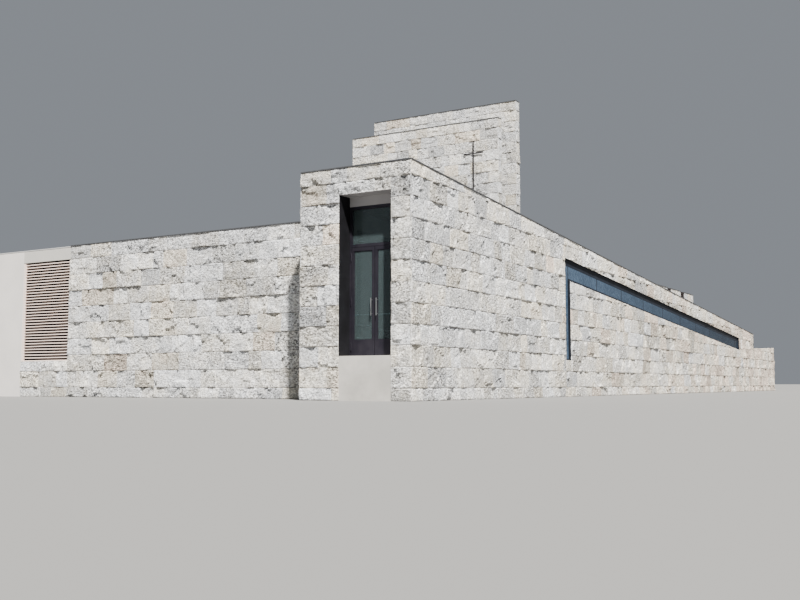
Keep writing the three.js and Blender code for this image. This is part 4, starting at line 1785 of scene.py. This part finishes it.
@dataclass
class Doors(Part):
    """The glazed leaves: glazing beads and bottom seals."""

    bead: float = 0.012
    bead_depth: float = 0.006
    bead_gap: float = 0.0003
    seal_height: float = 0.006
    seal_half: float = 0.006
    seal_overrun: float = 0.05
    rail: Pair = (0.017, 0.018)

    def build(self) -> None:
        """Adds the fine pieces of both leaves and of the light above them."""
        for body in ("left_door", "right_door"):
            self.build_leaf(body)
        self.workshop.solid("transom_beads", Finish.BRONZE, self.beads(*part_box("transom_glass")))

    def beads(self, low: Vector, high: Vector) -> list[Shape]:
        """A bead frame before and behind a pane.

        Args:
            low: the pane's lowest corner.
            high: its highest corner.

        Returns:
            The two frames.
        """
        outline = [(low.x, low.z), (high.x, low.z), (high.x, high.z), (low.x, high.z)]
        before = (low.y - self.bead_depth, low.y - self.bead_gap)
        behind = (high.y + self.bead_gap, high.y + self.bead_depth)
        return [
            ring_shape(outline, self.bead, lambda u, v, depth: (u, depth, v), depths)
            for depths in (before, behind)
        ]

    def build_leaf(self, body: str) -> None:
        """The beads and the bottom seal of one leaf.

        Args:
            body: the leaf's CAD body.
        """
        low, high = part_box(f"{body}_glass")
        self.workshop.solid(f"{body}_beads", Finish.BRONZE, self.beads(low, high), body=body)
        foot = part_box(f"{body}_leaf")[0].z
        middle = ((low.y - self.rail[0]) + (high.y + self.rail[1])) / 2
        seal = box_shape(
            (low.x - self.seal_overrun, middle - self.seal_half, foot - self.seal_height),
            (high.x + self.seal_overrun, middle + self.seal_half, foot),
        )
        self.workshop.solid(f"{body}_seal", Finish.RUBBER, [seal], body=body)


@dataclass
class Wing(Part):
    """The low wing: its stone wall, the louvred bay and the rendered end bay."""

    cell: float = 0.055
    hidden_cell: float = 0.09
    slats: int = 35
    slat_height: float = 0.025
    slat_depth: float = 0.032
    slat_tilt: float = math.radians(-3.0)
    slat_bevel: float = 0.004
    post: float = 0.07
    post_bevel: float = 0.003
    flashing: float = 0.018
    flashing_laps: float = 0.008
    flashing_stands: float = 0.004
    flashing_bevel: float = 0.002

    def build(self) -> None:
        """Lays the wing's stones and makes the louvres and the flashing."""
        self.workshop.stones("wing_stones", self.faces(), seed=41)
        self.louvres()
        self.flashings()

    def faces(self) -> list[StoneFace]:
        """The wing wall, the low wall under the louvres, and the upstand behind the wing roof.

        Returns:
            Their faces.
        """
        low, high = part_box("wing_wall")
        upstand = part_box("nave_upstand")[0]
        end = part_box("portal_left_pier")[0].x
        cells = level(self.cell)
        return [
            upright(Side.FRONT, low.x, low.y, end - low.x, level(high.z), cells=cells),
            front_of("louvre_sill_wall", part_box("louvre_sill_wall")[1].z, cells=cells),
            front_of(
                "nave_upstand", top_at("nave_upstand", upstand.y),
                bottom=level(upstand.z), cells=level(self.hidden_cell),
            ),
        ]

    def louvres(self) -> None:
        """Posts and tilted slats in the place of the plain louvre panel."""
        low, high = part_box("louvre_panel")
        first = low.x + self.post
        last = high.x - self.post / 2
        posts = [box_shape(low, (first, high.y, high.z)), box_shape((last, low.y, low.z), high)]
        self.workshop.solid("louvre_posts", Finish.LOUVRE, posts, bevel=self.post_bevel)
        pitch = (high.z - low.z) / self.slats
        row = {
            "Count": self.slats,
            "Step": (0.0, 0.0, -pitch),
            "Size": (last - first, self.slat_depth, self.slat_height),
            "Tilt": (self.slat_tilt, 0.0, 0.0),
            "Start": ((first + last) / 2, (low.y + high.y) / 2, high.z - pitch + self.slat_height / 2),
        }
        self.workshop.bars(
            "louvre_slats", Finish.LOUVRE, row, bevel=self.slat_bevel, replaces=["louvre_panel"],
        )

    def flashings(self) -> None:
        """A thin pale metal edge on the fascia and on the end bay."""
        low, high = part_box("louvre_fascia")
        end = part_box("end_bay_wall")[0].x
        edge = box_shape(
            (end, low.y - self.flashing_laps, high.z - self.flashing),
            (high.x, high.y + self.flashing_laps, high.z + self.flashing_stands),
        )
        self.workshop.solid("wing_flashing", Finish.FLASHING, [edge], bevel=self.flashing_bevel)


@dataclass
class Tower(Part):
    """The two stone blades."""

    seen_cell: float = 0.07
    hidden_cell: float = 0.1
    relief: float = 0.8
    front_bed: float = 0.400
    rear_bed: float = 0.189

    def build(self) -> None:
        """Lays the stones of both blades."""
        seen = {Side.FRONT: self.seen_cell, Side.RIGHT: self.seen_cell}
        for blade, bed, seed in (("front", self.front_bed, 57), ("rear", self.rear_bed, 52)):
            faces = all_round(f"tower_{blade}_blade", seen, self.hidden_cell, bed=bed, relief=self.relief)
            self.workshop.stones(f"{blade}_blade_stones", faces, seed)


@dataclass
class RoofBlocks(Part):
    """Three stone blocks in a row on the roof, each with a slate cap, and dark boards between them."""

    nodes: tuple[str, ...] = ("roof_block_1", "roof_block_2", "roof_block_3")
    links: tuple[str, ...] = ("roof_block_link_1", "roof_block_link_2")
    cell: float = 0.085
    relief: float = 0.4
    corner: float = 0.008
    cap: float = 0.03
    cap_stands: float = 0.002
    cap_bevel: float = 0.002
    overhang: float = 0.020
    board_stands: float = 0.045
    board_laps: float = 0.03

    def build(self) -> None:
        """Lays the blocks' stones, caps them and closes the gaps between them."""
        faces = []
        caps = []
        for node in self.nodes:
            faces += all_round(node, {}, self.cell, relief=self.relief, corner=self.corner)
            low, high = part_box(node)
            caps.append(box_shape(
                (low.x - self.overhang, low.y - self.overhang, high.z - self.cap + self.cap_stands),
                (high.x + self.overhang, high.y + self.overhang, high.z + self.cap_stands),
            ))
        boards = []
        for node in self.links:
            low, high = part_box(node)
            boards.append(box_shape(
                (low.x - self.board_stands, low.y - self.board_laps, low.z),
                (high.x + self.board_stands, high.y + self.board_laps, high.z),
            ))
        self.workshop.stones("roof_block_stones", faces, seed=61)
        self.workshop.solid("roof_block_caps", Finish.SLATE, caps, bevel=self.cap_bevel)
        self.workshop.solid("roof_block_boards", Finish.DARK_BOARD, boards, replaces=self.links)


@dataclass
class Copings(Part):
    """Slate slabs along the wall tops."""

    slab: float = 1.25
    gap: float = 0.005
    bevel: float = 0.002
    names: tuple[str, ...] = (
        "portal_coping", "long_wall_coping", "hall_left_coping", "nave_upstand_coping",
        "west_nave_coping", "rear_coping", "wing_coping", "west_wing_coping",
        "tower_front_blade_coping", "tower_rear_blade_coping",
    )

    def build(self) -> None:
        """Makes the slabs of every coping."""
        for name in self.names:
            self.build_row(name)

    def build_row(self, node: str) -> None:
        """Lays slabs in the place of one coping.

        Args:
            node: the coping's CAD node.
        """
        points = corners(node)
        low = points.min(0)
        high = points.max(0)
        tops = [points[np.abs(points[:, 1] - y) < TOUCH, 2] for y in (low[1], high[1])]
        fall = tops[1].max() - tops[0].max()
        width, depth = (high - low)[:2]
        slope = math.atan2(fall, depth)
        run = math.hypot(depth, fall)
        thickness = (tops[0].max() - tops[0].min()) * math.cos(slope)
        normal = Vector((0.0, -math.sin(slope), math.cos(slope)))
        middle = (*((low + high) / 2)[:2], (tops[0].max() + tops[1].max()) / 2)
        centre = Vector(middle) - normal * (thickness / 2)
        runs_back = depth > width
        length = run if runs_back else width
        count = max(1, round(length / self.slab))
        pitch = length / count
        if runs_back:
            way = Vector((0.0, math.cos(slope), math.sin(slope)))
            step = (0.0, pitch, 0.0)
            size = (width, pitch - self.gap, thickness)
        else:
            way = X_AXIS
            step = (pitch, 0.0, 0.0)
            size = (pitch - self.gap, run, thickness)
        start = tuple(centre - way * (length - pitch) / 2)
        row = {"Count": count, "Step": step, "Size": size, "Start": start, "Turn": (slope, 0.0, 0.0)}
        self.workshop.bars(f"{node}_slabs", Finish.SLATE, row, bevel=self.bevel, replaces=[node])


@dataclass
class SlotWindows(Part):
    """The two slot windows: panes with dark joints, a bead, a dark strip under the head that paints the
    shade cast by the head, a strip over the foot, and a lining.
    """

    joint: float = 0.046
    joint_recess: float = 0.0015
    pane_bevel: float = 0.0015
    post: float = 0.030
    sheet: float = 0.005
    lip: float = 0.009
    bead: float = 0.028
    bead_depth: float = 0.010
    # A dark sheet under the head, as tall as the shade that the head casts on the panes: painted shade
    head_shade_strip: float = 0.185
    strip_depth: float = 0.004
    foot_strip: Pair = (0.075, 0.045)

    def build(self) -> None:
        """Dresses both windows."""
        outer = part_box("long_wall")[1].x
        self.build_window("long_wall_slot", outer, 1.0)
        self.build_window("west_wall_slot", -outer, -1.0)

    def joints(self, frame_node: str, slot: SlotOutline) -> list[float]:
        """Where the panes meet: over the rear edge of the leg, and over each post.

        Args:
            frame_node: the window's frame.
            slot: its outline.

        Returns:
            The distances to the rear.
        """
        sides = np.unique(corners(frame_node)[:, 1].round(4))
        posts = [float(a + b) / 2 for a, b in zip(sides, sides[1:]) if abs(b - a - self.post) < TOUCH]
        return [slot.leg_rear] + posts

    def panes(self, slot: SlotOutline, joints: Sequence[float]) -> list[list[Pair]]:
        """The outline of each pane.

        Args:
            slot: the window's outline.
            joints: where the panes meet.

        Returns:
            The corners of each pane, as distances to the rear and heights.
        """
        half = self.joint / 2
        leg = slot.leg_rear - half
        first = [(slot.front, slot.sill), (leg, slot.sill), (leg, slot.head.at(leg)), slot.head.points[0]]
        ends = zip(joints, [*joints[1:], slot.rear + half])
        return [first] + [self.stretch(slot, start + half, end - half) for start, end in ends]

    def stretch(self, slot: SlotOutline, start: float, end: float) -> list[Pair]:
        """The outline of the band between two distances."""
        return [(y, slot.foot.at(y)) for y in (start, end)] + [(y, slot.head.at(y)) for y in (end, start)]

    def strips(self, slot: SlotOutline) -> list[list[Pair]]:
        """The dark strip under the head, which is painted shade below the head, and the strip over the
        band's foot.

        Args:
            slot: the window's outline.

        Returns:
            The outlines of the two strips.
        """
        head = list(slot.head.points)
        foot = list(slot.foot.points)
        foot_top = [(y, z + height) for (y, z), height in zip(foot, self.foot_strip)]
        return [[(y, z - self.head_shade_strip) for y, z in head] + head[::-1], foot + foot_top[::-1]]

    def build_window(self, name: str, face_x: float, side: float) -> None:
        """Makes the pieces of one window.

        Args:
            name: the window's name.
            face_x: where the wall's outer face stands.
            side: 1 where the wall looks to +X, -1 where it looks to -X.
        """
        glass = f"{name}_glass"
        slot = SlotOutline.of(glass)
        low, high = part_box(glass)
        front, back = (high.x, low.x) if side > 0 else (low.x, high.x)
        joints = self.joints(f"{name}_frame", slot)

        def place(u: float, v: float, depth: float) -> tuple[float, float, float]:
            """The point of an outline's corner at a depth."""
            return depth, u * side, v

        def facing(outline: Outline) -> Outline:
            """An outline as it is seen from outside."""
            return outline if side > 0 else [(-y, z) for y, z in outline[::-1]]

        def plates(outlines: Sequence[Outline], near: float, far: float) -> list[Shape]:
            """A plate for each outline."""
            return [plate_shape(facing(outline), place, (near, far)) for outline in outlines]

        half = self.joint / 2
        seals = [self.stretch(slot, y - half, y + half) for y in joints]
        ring = facing(slot.outline())
        inner = inset_outline(ring, self.sheet)
        metal = [
            ring_shape(ring, self.sheet, place, (face_x + side * self.lip, front)),
            ring_shape(inner, self.bead, place, (front + side * self.bead_depth, front)),
            # The head strip among these is painted shade under the head
            *plates(self.strips(slot), front + side * self.strip_depth, front),
        ]
        self.workshop.solid(
            f"{name}_panes", Finish.SLOT_GLASS, plates(self.panes(slot, joints), front, back),
            bevel=self.pane_bevel, replaces=[glass],
        )
        recessed = front - side * self.joint_recess
        self.workshop.solid(f"{name}_seals", Finish.RUBBER, plates(seals, recessed, back))
        self.workshop.solid(f"{name}_lining", Finish.SLOT_METAL, metal)


def towards(azimuth: float, height: float) -> Vector:
    """The way to a point at an angle from the front towards +X and at an angle above the level."""
    flat = math.cos(height)
    return Vector((math.sin(azimuth) * flat, -math.cos(azimuth) * flat, math.sin(height)))


@dataclass
class Stage(Part):
    """The floor, the lights and the camera."""

    eye: tuple[float, float, float] = (17.920, -37.126, 0.355)
    azimuth: float = math.radians(30.9)
    pitch: float = math.radians(4.894)
    lens: float = 44.145
    sensor: float = 36.0
    clip: Pair = (0.1, 3000.0)
    sun_azimuth: float = math.radians(46.0)
    sun_height: float = math.radians(53.0)
    sun_strength: float = 17.2
    sun_softness: float = math.radians(2.2)
    sun_colour: Colour = (1.0, 0.965, 0.91)
    sky: Colour = (0.80, 0.86, 0.95)
    sky_strength: float = 0.31
    floor_reach: float = 900.0

    def build(self) -> None:
        """Makes the stage."""
        self.floor()
        self.lights()
        self.camera()

    def floor(self) -> None:
        """A plain pale floor at the lowest ground."""
        reach = self.floor_reach
        points = [(x * reach, y * reach, 0.0) for x, y in ((-1, -1), (1, -1), (1, 1), (-1, 1))]
        mesh = bpy.data.meshes.new("stage_floor")
        mesh.from_pydata(points, [], [(0, 1, 2, 3)])
        mesh.materials.append(self.workshop.material(Finish.FLOOR))
        self.workshop.link("stage_floor", mesh)

    def place(self, name: str, data: bpy.types.ID, way: Vector) -> bpy.types.Object:
        """Puts a lamp or a camera into the scene.

        Args:
            name: its name.
            data: the lamp or the camera.
            way: where its back points.

        Returns:
            The object.
        """
        placed = bpy.data.objects.new(name, data)
        placed.rotation_euler = way.to_track_quat("Z", "Y").to_euler()
        bpy.context.scene.collection.objects.link(placed)
        return placed

    def lights(self) -> None:
        """A soft sun from the front right and an even sky."""
        lamp = bpy.data.lights.new("soft_sun", "SUN")
        lamp.energy = self.sun_strength
        lamp.angle = self.sun_softness
        lamp.color = self.sun_colour
        self.place("soft_sun", lamp, towards(self.sun_azimuth, self.sun_height))
        world = bpy.data.worlds.new("even_sky")
        world.use_nodes = True
        background = world.node_tree.nodes["Background"]
        background.inputs["Color"].default_value = (*self.sky, 1.0)
        background.inputs["Strength"].default_value = self.sky_strength
        bpy.context.scene.world = world

    def camera(self) -> None:
        """The camera at the photograph's place."""
        view = bpy.data.cameras.new("view")
        view.lens = self.lens
        view.sensor_width = self.sensor
        view.clip_start, view.clip_end = self.clip
        camera = self.place("view", view, towards(self.azimuth, -self.pitch))
        camera.location = self.eye
        bpy.context.scene.camera = camera


def dress_solids(workshop: Workshop) -> None:
    """Gives every CAD node the finish of its material slot.

    Args:
        workshop: makes the materials.
    """
    slots = {row["node"]: row["material_slot"] for row in frame["record"]["subparts"]}
    for name, node in frame["nodes"].items():
        finish = NODE_FINISH.get(name, SLOT_FINISH[slots[name]])
        node.data.materials.clear()
        node.data.materials.append(workshop.material(finish))


def write_sizes() -> None:
    """Updates the view layer, so that every piece's place is current."""
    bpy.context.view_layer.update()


PARTS = (
    LongSide, HiddenSides, EntranceBlock, Doors, Wing, Tower, RoofBlocks, Copings, SlotWindows, Stage,
)


def main() -> None:
    """Builds every sub-assembly in order."""
    logging.basicConfig(level=logging.INFO, format="%(name)s %(message)s")
    workshop = Workshop()
    dress_solids(workshop)
    for part in PARTS:
        part(workshop).build()
    write_sizes()


if __name__ == "__main__":
    main()
